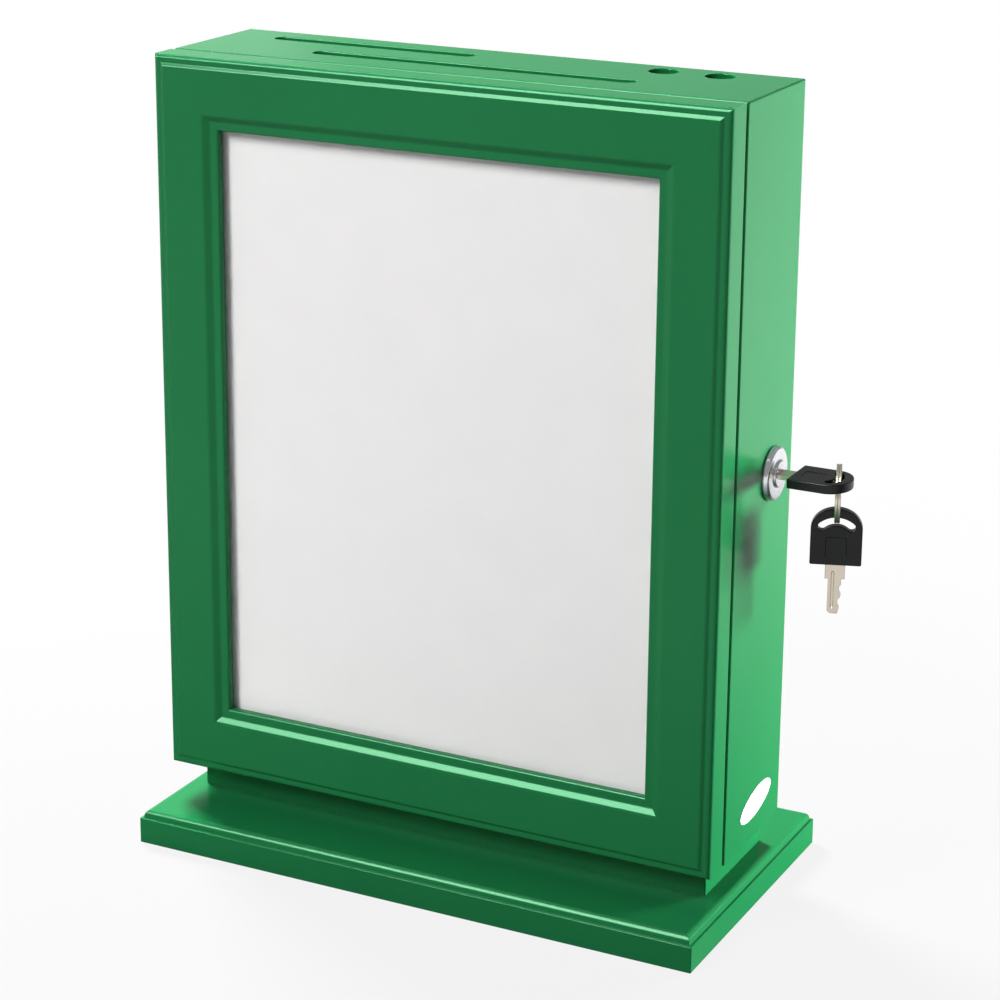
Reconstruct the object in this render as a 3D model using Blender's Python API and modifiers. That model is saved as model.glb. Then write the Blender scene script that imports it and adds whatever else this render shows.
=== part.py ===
"""Suggestion box: a painted board cabinet on a plinth, with a lockable display door and two keys.

The origin is the centre of the base board's underside. X points right, Y back and Z up, and every length
is in metres. The door is the front, hinged on the left, and the lock is in the right side.
"""
import math

import bmesh
import bpy
from mathutils import Matrix, Vector

# Display sheet, how much of it the frame covers, and what lies over it
SHEET_WIDTH = 0.2159
SHEET_HEIGHT = 0.2794
SHEET_THICKNESS = 0.0003
SHEET_COVERED_SIDE = 0.00295
SHEET_COVERED_END = 0.0037
SHEET_MARGIN = 0.0013
COVER_THICKNESS = 0.0015
PANE_CLEARANCE = 0.0005

# Door frame round the window
FRAME_WIDTH = 0.0318
DOOR_THICKNESS = 0.0155
DOOR_GAP = 0.0022

# Frame moulding, from the door's side towards the window
STEP_DEPTH = 0.0010
OUTER_ROUND_WIDTH = 0.0020
OUTER_ROUND_DEPTH = 0.0023
OUTER_LEDGE = 0.0016
OUTER_SLOPE = 0.0014
INNER_SLOPE = 0.0030
INNER_LEDGE = 0.0027
INNER_ROUND = 0.0013
LIP_THICKNESS = 0.0058

# Cabinet
CABINET_DEPTH = 0.0640
BOARD = 0.0120
BACK_BOARD = 0.0050
BACK_RABBET = 0.0060

# Base board and plinth
BASE_THICKNESS = 0.0159
BASE_OVERHANG_FRONT = 0.0410
BASE_OVERHANG_SIDE = 0.0027
BASE_LEDGE_HEIGHT = 0.0122
BASE_LEDGE = 0.0012
BASE_COVE_RUN = 0.0004
BASE_COVE_RISE = 0.0008
BASE_ROUND_RUN = 0.0030
PLINTH_HEIGHT = 0.0161
PLINTH_INSET = 0.0083

# Top openings
SLOT_WIDTH = 0.0064
FRONT_SLOT_LENGTH = 0.1540
FRONT_SLOT_FROM_FRONT = 0.0213
REAR_SLOT_LENGTH = 0.1000
REAR_SLOT_FROM_BACK = 0.0167
REAR_SLOT_FROM_LEFT = 0.0248
PEN_HOLE_RADIUS = 0.0066
PEN_HOLE_FROM_BACK = 0.0128
PEN_HOLE_FROM_RIGHT = 0.0335
PEN_HOLE_SPACING = 0.0260

# Pocket behind the deposit slot, for blank cards and pens
POCKET_OVER_CAM = 0.0088
POCKET_FLOOR = 0.0060
PARTITION_THICKNESS = 0.0030

# Lock, measured from the right side's face
LOCK_FROM_BACK = 0.0227
FLANGE_RADIUS = 0.0122
FLANGE_EDGE = 0.0010
FLANGE_DOME = 0.0029
BARREL_RADIUS = 0.0093
BARREL_FLAT = 0.0080
BARREL_END = 0.0043
NUT_RADIUS = 0.0127
NUT_THICKNESS = 0.0030
PLUG_RADIUS = 0.0058
PLUG_PROUD = 0.0038
TANG_SIDE = 0.0064
CAM_THICKNESS = 0.0020
CAM_HUB_RADIUS = 0.0080
CAM_ARM_WIDTH = 0.0100
CAM_NOSE = 0.0028
CAM_DOOR_CLEARANCE = 0.0008
CAM_SCREW_HEAD_RADIUS = 0.0045
CAM_SCREW_HEAD = 0.0018
CAM_SCREW_RADIUS = 0.0016
CAM_SCREW_LENGTH = 0.0070

# Keeper on the door, which the cam's hook catches
STRIKE_RADIUS = 0.0015
STRIKE_PLAY = 0.0010
KEEPER_METAL = 0.0015
KEEPER_SIDE_PLAY = 0.0017
KEEPER_HEIGHT = 0.0340
KEEPER_EAR_HEIGHT = 0.0110
KEEPER_SCREW_FROM_END = 0.0050

# Keys
KEY_THICKNESS = 0.0020
BLADE_WIDTH = 0.0058
BLADE_TIP_WIDTH = 0.0034
BLADE_LENGTH = 0.0159
SHOULDER_WIDTH = 0.0087
SHOULDER_LENGTH = 0.0066
KEY_TANG_WIDTH = 0.0070
KEY_TANG_LENGTH = 0.0090
BOW_WIDTH = 0.0235
BOW_LENGTH = 0.0262
BOW_ARCH_RISE = 0.0095
BOW_THICKNESS = 0.0042
BOW_SLOT_WIDTH = 0.0037
BOW_SLOT_TO_ARCH = 0.0046
BOW_SLOT_RADIUS = 0.0098
BOW_SLOT_HALF_ANGLE = math.radians(40)
RING_RADIUS = 0.0120
RING_WIRE_RADIUS = 0.0010
RING_DROP = 0.0080
RING_TURN = math.radians(19)
RING_PLAY = 0.0005

# Hinges
HINGE_LENGTH = 0.0380
HINGE_FROM_END = 0.0450
HINGE_METAL = 0.0008
HINGE_EDGE_MARGIN = 0.0010
KNUCKLE_RADIUS = 0.0024
KNUCKLE_COUNT = 5
PIN_RADIUS = 0.0010
PIN_HEAD_RADIUS = 0.0018
PIN_HEAD = 0.0008

# Turn buttons
BUTTON_REACH = 0.0150
BUTTON_RADIUS = 0.0045
BUTTON_METAL = 0.0016
BUTTON_FROM_RABBET = 0.0055
BUTTON_HOLE_RADIUS = 0.0018
BUTTON_FROM_END = 0.0750

# Screws
WOOD_SCREW_RADIUS = 0.0012
WOOD_SCREW_HEAD_RADIUS = 0.0024
WOOD_SCREW_HEAD = 0.0013
WOOD_SCREW_LENGTH = 0.0100
PAN_HEAD_RADIUS = 0.0034
PAN_HEAD = 0.0016
BASE_SCREW_RADIUS = 0.0020
BASE_SCREW_HEAD_RADIUS = 0.0042
BASE_SCREW_HEAD = 0.0026
BASE_SCREW_BITE = 0.0080
BASE_SCREW_FROM_SIDE = 0.0500
BASE_SCREW_FROM_BACK = 0.0160
SCREW_POINT = 0.0015

# Label
LABEL_LENGTH = 0.0405
LABEL_HEIGHT = 0.0106
LABEL_THICKNESS = 0.0003
LABEL_FROM_BACK = 0.0290
LABEL_FROM_BOTTOM = 0.0168
LABEL_TILT = math.radians(8.9)

# Where the cuts lie along the blade, and how far out each one leaves it
CUT_SHARES = [
    (0.00, 1.00),
    (0.16, 1.00),
    (0.22, 0.72),
    (0.34, 0.72),
    (0.42, 1.00),
    (0.52, 0.92),
    (0.60, 0.55),
    (0.72, 0.55),
    (0.80, 0.80),
]

# Clearances
GLUE_GAP = 0.0003
METAL_GAP = 0.0002
MITRE_GAP = 0.00015
RUNNING_GAP = 0.0001
SCREW_CLEARANCE = 0.00015
CUT_OVERRUN = 0.0020
WELD = 0.000002

# Facets
ARC_STEPS = 4
TURN_STEPS = 16
LARGE_TURN_STEPS = 32
RING_STEPS = 40
RING_WIRE_STEPS = 8
SHARP_ANGLE = math.radians(35)

# Outlines are filled at this many units to the metre, because the fill works best on large numbers
FILL_UNITS = 1000

# Places worked out from the sizes above
WINDOW_WIDTH = SHEET_WIDTH - 2 * SHEET_COVERED_SIDE
WINDOW_HEIGHT = SHEET_HEIGHT - 2 * SHEET_COVERED_END
RABBET_LAP = SHEET_COVERED_END + SHEET_MARGIN
DOOR_WIDTH = WINDOW_WIDTH + 2 * FRAME_WIDTH
DOOR_HEIGHT = WINDOW_HEIGHT + 2 * FRAME_WIDTH
HALF_WIDTH = DOOR_WIDTH / 2
HALF_DEPTH = CABINET_DEPTH / 2
CABINET_BOTTOM = BASE_THICKNESS + PLINTH_HEIGHT
CABINET_TOP = CABINET_BOTTOM + DOOR_HEIGHT
CABINET_MIDDLE = (CABINET_BOTTOM + CABINET_TOP) / 2
CABINET_FRONT = -HALF_DEPTH
DOOR_BACK = CABINET_FRONT - DOOR_GAP
DOOR_FACE = DOOR_BACK - DOOR_THICKNESS
INSIDE_HALF_WIDTH = HALF_WIDTH - BOARD
INSIDE_TOP = CABINET_TOP - BOARD
INSIDE_BOTTOM = CABINET_BOTTOM + BOARD
BACK_BOARD_FRONT = HALF_DEPTH - BACK_BOARD
FRONT_SLOT_Y = CABINET_FRONT + FRONT_SLOT_FROM_FRONT
REAR_SLOT_Y = HALF_DEPTH - REAR_SLOT_FROM_BACK
REAR_SLOT_X = -HALF_WIDTH + REAR_SLOT_FROM_LEFT + REAR_SLOT_LENGTH / 2
PEN_HOLE_Y = HALF_DEPTH - PEN_HOLE_FROM_BACK
PARTITION_Y = (FRONT_SLOT_Y + REAR_SLOT_Y) / 2
LOCK_Y = HALF_DEPTH - LOCK_FROM_BACK
LOCK_CENTRE = Vector((HALF_WIDTH, LOCK_Y, CABINET_MIDDLE))
BARREL_LENGTH = BOARD + NUT_THICKNESS + METAL_GAP + BARREL_END
PANE_HALF_WIDTH = WINDOW_WIDTH / 2 + RABBET_LAP
PANE_HALF_HEIGHT = WINDOW_HEIGHT / 2 + RABBET_LAP

PARTS = bpy.data.collections.new("suggestion_box")
CUTTERS = bpy.data.collections.new("cutters")


def clear_scene():
    """Removes whatever the scene holds and links the two collections."""
    for thing in list(bpy.data.objects):
        bpy.data.objects.remove(thing, do_unlink=True)
    bpy.context.scene.collection.children.link(PARTS)
    bpy.context.scene.collection.children.link(CUTTERS)


def finish(name, colour, roughness, metallic=0.0, alpha=1.0):
    """A Principled material."""
    made = bpy.data.materials.new(name)
    made.use_nodes = True
    shader = made.node_tree.nodes["Principled BSDF"]
    shader.inputs["Base Color"].default_value = (*colour, 1.0)
    shader.inputs["Roughness"].default_value = roughness
    shader.inputs["Metallic"].default_value = metallic
    shader.inputs["Alpha"].default_value = alpha
    return made


def basis(x_axis, y_axis, z_axis):
    """The rotation whose columns are the three axes."""
    return Matrix((x_axis, y_axis, z_axis)).transposed().to_4x4()


def facing(direction):
    """A rotation that turns local +Z to the direction."""
    return Vector((0, 0, 1)).rotation_difference(Vector(direction)).to_matrix().to_4x4()


def add(name, mesh, look, at=(0, 0, 0), turn=None):
    """Puts a mesh in the scene as one part, or as a cutter when it has no look."""
    thing = bpy.data.objects.new(name, mesh)
    if look is None:
        CUTTERS.objects.link(thing)
        thing.hide_render = True
        thing.display_type = "WIRE"
    else:
        PARTS.objects.link(thing)
        mesh.materials.append(look)
        mesh.shade_smooth()
        mesh.set_sharp_from_angle(angle=SHARP_ANGLE)
    thing.matrix_world = Matrix.Translation(Vector(at)) @ (turn or Matrix.Identity(4))
    return thing


def mesh_from(name, bm):
    """Turns a bmesh into a mesh and frees it."""
    mesh = bpy.data.meshes.new(name)
    bm.to_mesh(mesh)
    bm.free()
    return mesh


def block(name, low, high, look=None):
    """A board between two corners, with its object at its middle."""
    low, high = Vector(low), Vector(high)
    bm = bmesh.new()
    bmesh.ops.create_cube(bm, size=1)
    bmesh.ops.scale(bm, vec=high - low, verts=bm.verts)
    return add(name, mesh_from(name, bm), look, (low + high) / 2)


def rod(name, centre, direction, radius, length, look=None, steps=TURN_STEPS):
    """A cylinder about its centre."""
    bm = bmesh.new()
    bmesh.ops.create_cone(
        bm, cap_ends=True, segments=steps, radius1=radius, radius2=radius, depth=length
    )
    return add(name, mesh_from(name, bm), look, centre, facing(direction))


def arc(centre, radii, start, end, steps=ARC_STEPS):
    """Points along part of an ellipse, from one angle to another in radians."""
    turns = [start + (end - start) * i / steps for i in range(steps + 1)]
    return [(centre[0] + radii[0] * math.cos(t), centre[1] + radii[1] * math.sin(t)) for t in turns]


def outline_mesh(name, outlines, thickness):
    """A flat outline in local XY with its holes, filled and given a thickness along local Z."""
    curve = bpy.data.curves.new(name, "CURVE")
    curve.dimensions = "2D"
    curve.fill_mode = "BOTH"
    curve.extrude = thickness * FILL_UNITS / 2
    for points in outlines:
        spline = curve.splines.new("POLY")
        spline.points.add(len(points) - 1)
        for point, (x, y) in zip(spline.points, points):
            point.co = (x * FILL_UNITS, y * FILL_UNITS, 0, 1)
        spline.use_cyclic_u = True
    holder = bpy.data.objects.new(name + "_outline", curve)
    CUTTERS.objects.link(holder)
    graph = bpy.context.evaluated_depsgraph_get()
    mesh = bpy.data.meshes.new_from_object(holder.evaluated_get(graph))
    bpy.data.objects.remove(holder, do_unlink=True)
    bm = bmesh.new()
    bm.from_mesh(mesh)
    bpy.data.meshes.remove(mesh)
    bmesh.ops.remove_doubles(bm, verts=bm.verts, dist=WELD * FILL_UNITS)
    bmesh.ops.scale(bm, vec=[1 / FILL_UNITS] * 3, verts=bm.verts)
    bmesh.ops.recalc_face_normals(bm, faces=bm.faces)
    return mesh_from(name, bm)


def turned(name, profile, look, at, direction, steps=TURN_STEPS):
    """A turned piece about local Z, from (radius, height) points that run down its outer side."""
    mesh = bpy.data.meshes.new(name)
    edges = [(i, i + 1) for i in range(len(profile) - 1)]
    mesh.from_pydata([(radius, 0, height) for radius, height in profile], edges, [])
    thing = add(name, mesh, look, at, facing(direction))
    turn = thing.modifiers.new("turn", "SCREW")
    turn.steps = steps
    turn.render_steps = steps
    turn.use_merge_vertices = True
    turn.merge_threshold = WELD
    turn.use_smooth_shade = True
    return thing


def boolean(thing, other, operation):
    """Adds an exact Boolean to a part."""
    step = thing.modifiers.new(operation.lower() + " " + other.name, "BOOLEAN")
    step.operation = operation
    step.solver = "EXACT"
    step.object = other


def cut(thing, *cutters):
    """Cuts each cutter out of a part."""
    for cutter in cutters:
        boolean(thing, cutter, "DIFFERENCE")


def screw_profile(head_radius, head, radius, length, grow=0.0):
    """A countersunk screw from its flat head down to its point. grow makes the cutter for it."""
    edge = head_radius + grow
    return [
        *([(0, CUT_OVERRUN), (edge, CUT_OVERRUN)] if grow else [(0, 0)]),
        (edge, 0),
        (radius + grow, -head),
        (radius + grow, -length + SCREW_POINT),
        (0, -length - grow),
    ]


def pan_screw_profile(grow=0.0):
    """A pan head screw whose head rests at height zero. grow makes the cutter for its shank."""
    shank = WOOD_SCREW_RADIUS + grow
    below = [(shank, -WOOD_SCREW_LENGTH + SCREW_POINT), (0, -WOOD_SCREW_LENGTH - grow)]
    if grow:
        return [(0, BUTTON_METAL), (shank, BUTTON_METAL), *below]
    top = [(0, PAN_HEAD), *arc((0, 0), (PAN_HEAD_RADIUS, PAN_HEAD), math.pi / 3, 0, ARC_STEPS)]
    return [*top, (WOOD_SCREW_RADIUS, 0), *below]


def wood_screw(name, at, direction, targets):
    """A countersunk wood screw and its hole in what it fastens."""
    sizes = (WOOD_SCREW_HEAD_RADIUS, WOOD_SCREW_HEAD, WOOD_SCREW_RADIUS, WOOD_SCREW_LENGTH)
    hole = turned("cut_" + name, screw_profile(*sizes, SCREW_CLEARANCE), None, at, direction)
    for target in targets:
        cut(target, hole)
    return turned(name, screw_profile(*sizes), STEEL, at, direction)


def moulded_base():
    """The base board: a square edge, then a ledge, a small cove and a round-over up to the top."""
    half_width = HALF_WIDTH + BASE_OVERHANG_SIDE
    half_depth = HALF_DEPTH + BASE_OVERHANG_FRONT
    round_rise = BASE_THICKNESS - BASE_LEDGE_HEIGHT - BASE_COVE_RISE
    bm = bmesh.new()
    bmesh.ops.create_cube(bm, size=1)
    size = (2 * half_width, 2 * half_depth, BASE_LEDGE_HEIGHT)
    bmesh.ops.scale(bm, vec=size, verts=bm.verts)
    bmesh.ops.translate(bm, vec=(0, 0, BASE_LEDGE_HEIGHT / 2), verts=bm.verts)
    top = [face for face in bm.faces if face.normal.z > 1 / 2]
    curve = arc((0, 0), (BASE_ROUND_RUN, round_rise), math.pi, math.pi / 2)
    steps = [(BASE_LEDGE, 0), (BASE_COVE_RUN, BASE_COVE_RISE)]
    steps += [(b[0] - a[0], b[1] - a[1]) for a, b in zip(curve, curve[1:])]
    for run, rise in steps:
        bmesh.ops.inset_region(bm, faces=top, thickness=run, depth=rise, use_even_offset=True)
    return add("base_board", mesh_from("base_board", bm), GREEN)


def plinth():
    """The block between the base board and the cabinet, flush with the cabinet's front and back."""
    half_width = HALF_WIDTH - PLINTH_INSET
    low = (-half_width, -HALF_DEPTH, BASE_THICKNESS + GLUE_GAP)
    return block("plinth_block", low, (half_width, HALF_DEPTH, CABINET_BOTTOM - GLUE_GAP), GREEN)


def slot_cutter(name, x, y, length):
    """A slot with round ends, through the top board."""
    radius, reach = SLOT_WIDTH / 2, length / 2 - SLOT_WIDTH / 2
    right = arc((reach, 0), (radius, radius), -math.pi / 2, math.pi / 2, 2 * ARC_STEPS)
    left = arc((-reach, 0), (radius, radius), math.pi / 2, 3 * math.pi / 2, 2 * ARC_STEPS)
    mesh = outline_mesh(name, [right + left], BOARD + 2 * CUT_OVERRUN)
    return add(name, mesh, None, (x, y, CABINET_TOP - BOARD / 2))


def cabinet():
    """The cabinet's boards, the rabbet for its back board and the openings in its top."""
    side_low, side_high = INSIDE_BOTTOM + GLUE_GAP, INSIDE_TOP - GLUE_GAP
    boards = [
        ("left_side_board", -HALF_WIDTH, -INSIDE_HALF_WIDTH, side_low, side_high),
        ("right_side_board", INSIDE_HALF_WIDTH, HALF_WIDTH, side_low, side_high),
        ("bottom_board", -HALF_WIDTH, HALF_WIDTH, CABINET_BOTTOM, INSIDE_BOTTOM),
        ("top_board", -HALF_WIDTH, HALF_WIDTH, INSIDE_TOP, CABINET_TOP),
    ]
    left, right, bottom, top = [
        block(name, (x_low, -HALF_DEPTH, z_low), (x_high, HALF_DEPTH, z_high), GREEN)
        for name, x_low, x_high, z_low, z_high in boards
    ]
    half_width = INSIDE_HALF_WIDTH + BACK_RABBET
    low, high = INSIDE_BOTTOM - BACK_RABBET, INSIDE_TOP + BACK_RABBET
    rabbet = block(
        "cut_back_rabbet",
        (-half_width, BACK_BOARD_FRONT - GLUE_GAP, low),
        (half_width, HALF_DEPTH + CUT_OVERRUN, high),
    )
    for board in (left, right, bottom, top):
        cut(board, rabbet)
    block(
        "back_board",
        (-half_width + GLUE_GAP, BACK_BOARD_FRONT, low + GLUE_GAP),
        (half_width - GLUE_GAP, HALF_DEPTH, high - GLUE_GAP),
        GREEN,
    )
    cut(top, slot_cutter("cut_front_slot", 0, FRONT_SLOT_Y, FRONT_SLOT_LENGTH))
    cut(top, slot_cutter("cut_rear_slot", REAR_SLOT_X, REAR_SLOT_Y, REAR_SLOT_LENGTH))
    for i in range(2):
        x = HALF_WIDTH - PEN_HOLE_FROM_RIGHT - i * PEN_HOLE_SPACING
        centre = (x, PEN_HOLE_Y, CABINET_TOP - BOARD / 2)
        sizes = (PEN_HOLE_RADIUS, BOARD + 2 * CUT_OVERRUN)
        cut(top, rod(f"cut_pen_hole_{i + 1}", centre, (0, 0, 1), *sizes, steps=LARGE_TURN_STEPS))
    return left, right, bottom


def pocket():
    """The partition and floor that keep blank cards and pens apart from the deposited cards."""
    half_width = INSIDE_HALF_WIDTH - GLUE_GAP
    front = PARTITION_Y - PARTITION_THICKNESS / 2
    block(
        "pocket_floor",
        (-half_width, front, POCKET_FLOOR_TOP - POCKET_FLOOR),
        (half_width, BACK_BOARD_FRONT - GLUE_GAP, POCKET_FLOOR_TOP),
        BARE_BOARD,
    )
    block(
        "pocket_partition",
        (-half_width, front, POCKET_FLOOR_TOP + GLUE_GAP),
        (half_width, front + PARTITION_THICKNESS, INSIDE_TOP - GLUE_GAP),
        BARE_BOARD,
    )


def member_outline():
    """The frame moulding in section: across from the door's side to the window, and in from the face."""
    ledge_start = OUTER_ROUND_WIDTH
    slope_start = ledge_start + OUTER_LEDGE
    face_start = slope_start + OUTER_SLOPE
    ledge_end = FRAME_WIDTH - INNER_ROUND
    slope_end = ledge_end - INNER_LEDGE
    face_end = slope_end - INNER_SLOPE
    quarter = math.pi / 2
    side = arc(
        (OUTER_ROUND_WIDTH, STEP_DEPTH + OUTER_ROUND_DEPTH),
        (OUTER_ROUND_WIDTH, OUTER_ROUND_DEPTH),
        2 * quarter,
        3 * quarter,
    )
    lip = arc((ledge_end, STEP_DEPTH + INNER_ROUND), (INNER_ROUND, INNER_ROUND), -quarter, 0)
    face = [(slope_start, STEP_DEPTH), (face_start, 0), (face_end, 0), (slope_end, STEP_DEPTH)]
    rabbet = [
        (FRAME_WIDTH, LIP_THICKNESS),
        (FRAME_WIDTH - RABBET_LAP, LIP_THICKNESS),
        (FRAME_WIDTH - RABBET_LAP, DOOR_THICKNESS),
    ]
    return [*side, *face, *lip, *rabbet, (0, DOOR_THICKNESS)]


def frame_member(name, length, at, turn):
    """One mitred member: local X runs in towards the window and local Y from the face to the back."""
    mesh = outline_mesh(name, [member_outline()], length)
    for vertex in mesh.vertices:
        end = math.copysign(length / 2 - vertex.co.x - MITRE_GAP, vertex.co.z)
        vertex.co.z = end
    return add(name, mesh, GREEN, at, Matrix.Rotation(turn, 4, "Y"))


def door():
    """The four frame members and the cover, sheet and backing in their rabbet."""
    left = frame_member("door_left_stile", DOOR_HEIGHT, (-HALF_WIDTH, DOOR_FACE, CABINET_MIDDLE), 0)
    right = frame_member("door_right_stile", DOOR_HEIGHT, (HALF_WIDTH, DOOR_FACE, CABINET_MIDDLE), math.pi)
    top = frame_member("door_top_rail", DOOR_WIDTH, (0, DOOR_FACE, CABINET_TOP), math.pi / 2)
    bottom = frame_member("door_bottom_rail", DOOR_WIDTH, (0, DOOR_FACE, CABINET_BOTTOM), -math.pi / 2)
    half_width = PANE_HALF_WIDTH - PANE_CLEARANCE
    half_height = PANE_HALF_HEIGHT - PANE_CLEARANCE
    cover_front = DOOR_FACE + LIP_THICKNESS + METAL_GAP
    sheet_front = cover_front + COVER_THICKNESS + METAL_GAP
    backing_front = sheet_front + SHEET_THICKNESS + METAL_GAP
    layers = [
        ("clear_cover", half_width, half_height, cover_front, COVER_THICKNESS, CLEAR),
        ("display_sheet", SHEET_WIDTH / 2, SHEET_HEIGHT / 2, sheet_front, SHEET_THICKNESS, PAPER),
        ("door_backing", half_width, half_height, backing_front, DOOR_BACK - backing_front, BARE_BOARD),
    ]
    made = [
        block(name, (-x, front, CABINET_MIDDLE - z), (x, front + thick, CABINET_MIDDLE + z), look)
        for name, x, z, front, thick, look in layers
    ]
    return left, right, [left, right, top, bottom, *made]


def turn_buttons(left_stile, right_stile):
    """Four turn buttons on the stiles, reaching over the backing, with their pan head screws."""
    buttons, screws = [], []
    reach = BUTTON_REACH - BUTTON_RADIUS
    radii = (BUTTON_RADIUS, BUTTON_RADIUS)
    near = arc((0, 0), radii, math.pi / 2, 3 * math.pi / 2, 2 * ARC_STEPS)
    far = arc((reach, 0), radii, -math.pi / 2, math.pi / 2, 2 * ARC_STEPS)
    hole = arc((0, 0), (BUTTON_HOLE_RADIUS, BUTTON_HOLE_RADIUS), 2 * math.pi, 0, TURN_STEPS)[:-1]
    y = DOOR_BACK + METAL_GAP
    offset = PANE_HALF_WIDTH + BUTTON_FROM_RABBET
    heights = (CABINET_TOP - BUTTON_FROM_END, CABINET_BOTTOM + BUTTON_FROM_END)
    places = [(side, z) for side in (-1, 1) for z in heights]
    for number, (side, z) in enumerate(places, 1):
        name = f"turn_button_{number}"
        mesh = outline_mesh(name, [near + far, hole], BUTTON_METAL)
        turn = basis((-side, 0, 0), (0, 0, -side), (0, -1, 0))
        buttons.append(add(name, mesh, STEEL, (side * offset, y + BUTTON_METAL / 2, z), turn))
        at = (side * offset, y + BUTTON_METAL + METAL_GAP, z)
        drilled = turned(f"cut_{name}_screw", pan_screw_profile(SCREW_CLEARANCE), None, at, (0, 1, 0))
        cut(left_stile if side < 0 else right_stile, drilled)
        screws.append(turned(f"{name}_screw", pan_screw_profile(), STEEL, at, (0, 1, 0)))
    return buttons, screws


def hinge_leaf(name, side, own, centre, length):
    """One leaf rolled into its knuckles. side is +1 for the cabinet's leaf and -1 for the door's."""
    inner = METAL_GAP / 2
    outer = inner + HINGE_METAL
    reach = KNUCKLE_OFFSET + BOARD - HINGE_EDGE_MARGIN
    start = math.asin(outer / KNUCKLE_RADIUS)
    end = 2 * math.pi + math.asin(inner / KNUCKLE_RADIUS)
    knuckle = arc((0, 0), (KNUCKLE_RADIUS, KNUCKLE_RADIUS), start, end, 3 * ARC_STEPS)
    outline = [(reach, inner), (reach, outer), *knuckle]
    bore_radius = PIN_RADIUS + RUNNING_GAP
    bore = arc((0, 0), (bore_radius, bore_radius), 2 * math.pi, 0, TURN_STEPS)[:-1]
    mesh = outline_mesh(name, [outline, bore], length)
    turn = basis((1, 0, 0), (0, side, 0), (0, 0, side))
    leaf = add(name, mesh, STEEL, centre, turn)
    pitch = length / KNUCKLE_COUNT
    room = KNUCKLE_RADIUS + METAL_GAP
    for i in range(KNUCKLE_COUNT):
        if i % 2 != own:
            low = centre[2] - length / 2 + i * pitch
            below = METAL_GAP / 2 if i > 0 else CUT_OVERRUN
            above = METAL_GAP / 2 if i < KNUCKLE_COUNT - 1 else CUT_OVERRUN
            notch = block(
                f"cut_{name}_{i + 1}",
                (centre[0] - room - CUT_OVERRUN, centre[1] - room - CUT_OVERRUN, low - below),
                (centre[0] + room, centre[1] + room + CUT_OVERRUN, low + pitch + above),
            )
            cut(leaf, notch)
    return leaf


def hinge_pin(name, centre, length):
    """A hinge pin with a button head at each end."""
    half = length / 2 + METAL_GAP
    profile = [
        (0, half + PIN_HEAD),
        (PIN_HEAD_RADIUS, half + PIN_HEAD / 2),
        (PIN_HEAD_RADIUS, half),
        (PIN_RADIUS, half),
        (PIN_RADIUS, -half),
        (PIN_HEAD_RADIUS, -half),
        (PIN_HEAD_RADIUS, -half - PIN_HEAD / 2),
        (0, -half - PIN_HEAD),
    ]
    return turned(name, profile, STEEL, centre, (0, 0, 1))


def hinges(left_side, left_stile):
    """Two butt hinges in the gap between the door and the cabinet's left edge."""
    door_parts = []
    half = HINGE_LENGTH / 2
    heights = (CABINET_TOP - HINGE_FROM_END - half, CABINET_BOTTOM + HINGE_FROM_END + half)
    for label, z in zip(("upper", "lower"), heights):
        centre = Vector((HINGE_AXIS[0], HINGE_AXIS[1], z))
        cabinet_leaf = hinge_leaf(f"{label}_hinge_cabinet_leaf", 1, 0, centre, HINGE_LENGTH)
        door_leaf = hinge_leaf(f"{label}_hinge_door_leaf", -1, 1, centre, HINGE_LENGTH)
        hinge_pin(f"{label}_hinge_pin", centre, HINGE_LENGTH)
        door_parts.append(door_leaf)
        x = -HALF_WIDTH + HINGE_SCREW_X
        for number, step in enumerate((half / 2, -half / 2), 1):
            wood_screw(
                f"{label}_hinge_cabinet_screw_{number}",
                (x, HINGE_AXIS[1] + METAL_GAP, z + step),
                (0, -1, 0),
                (cabinet_leaf, left_side),
            )
            door_parts.append(
                wood_screw(
                    f"{label}_hinge_door_screw_{number}",
                    (x, HINGE_AXIS[1] - METAL_GAP, z + step),
                    (0, 1, 0),
                    (door_leaf, left_stile),
                )
            )
    return door_parts


def double_d(radius, flat):
    """A round outline with a flat on each side, as a lock barrel has."""
    half = math.asin(flat / radius)
    top = arc((0, 0), (radius, radius), math.pi / 2 - half, math.pi / 2 + half, 2 * ARC_STEPS)
    bottom = arc((0, 0), (radius, radius), 3 * math.pi / 2 - half, 3 * math.pi / 2 + half, 2 * ARC_STEPS)
    return top + bottom


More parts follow.
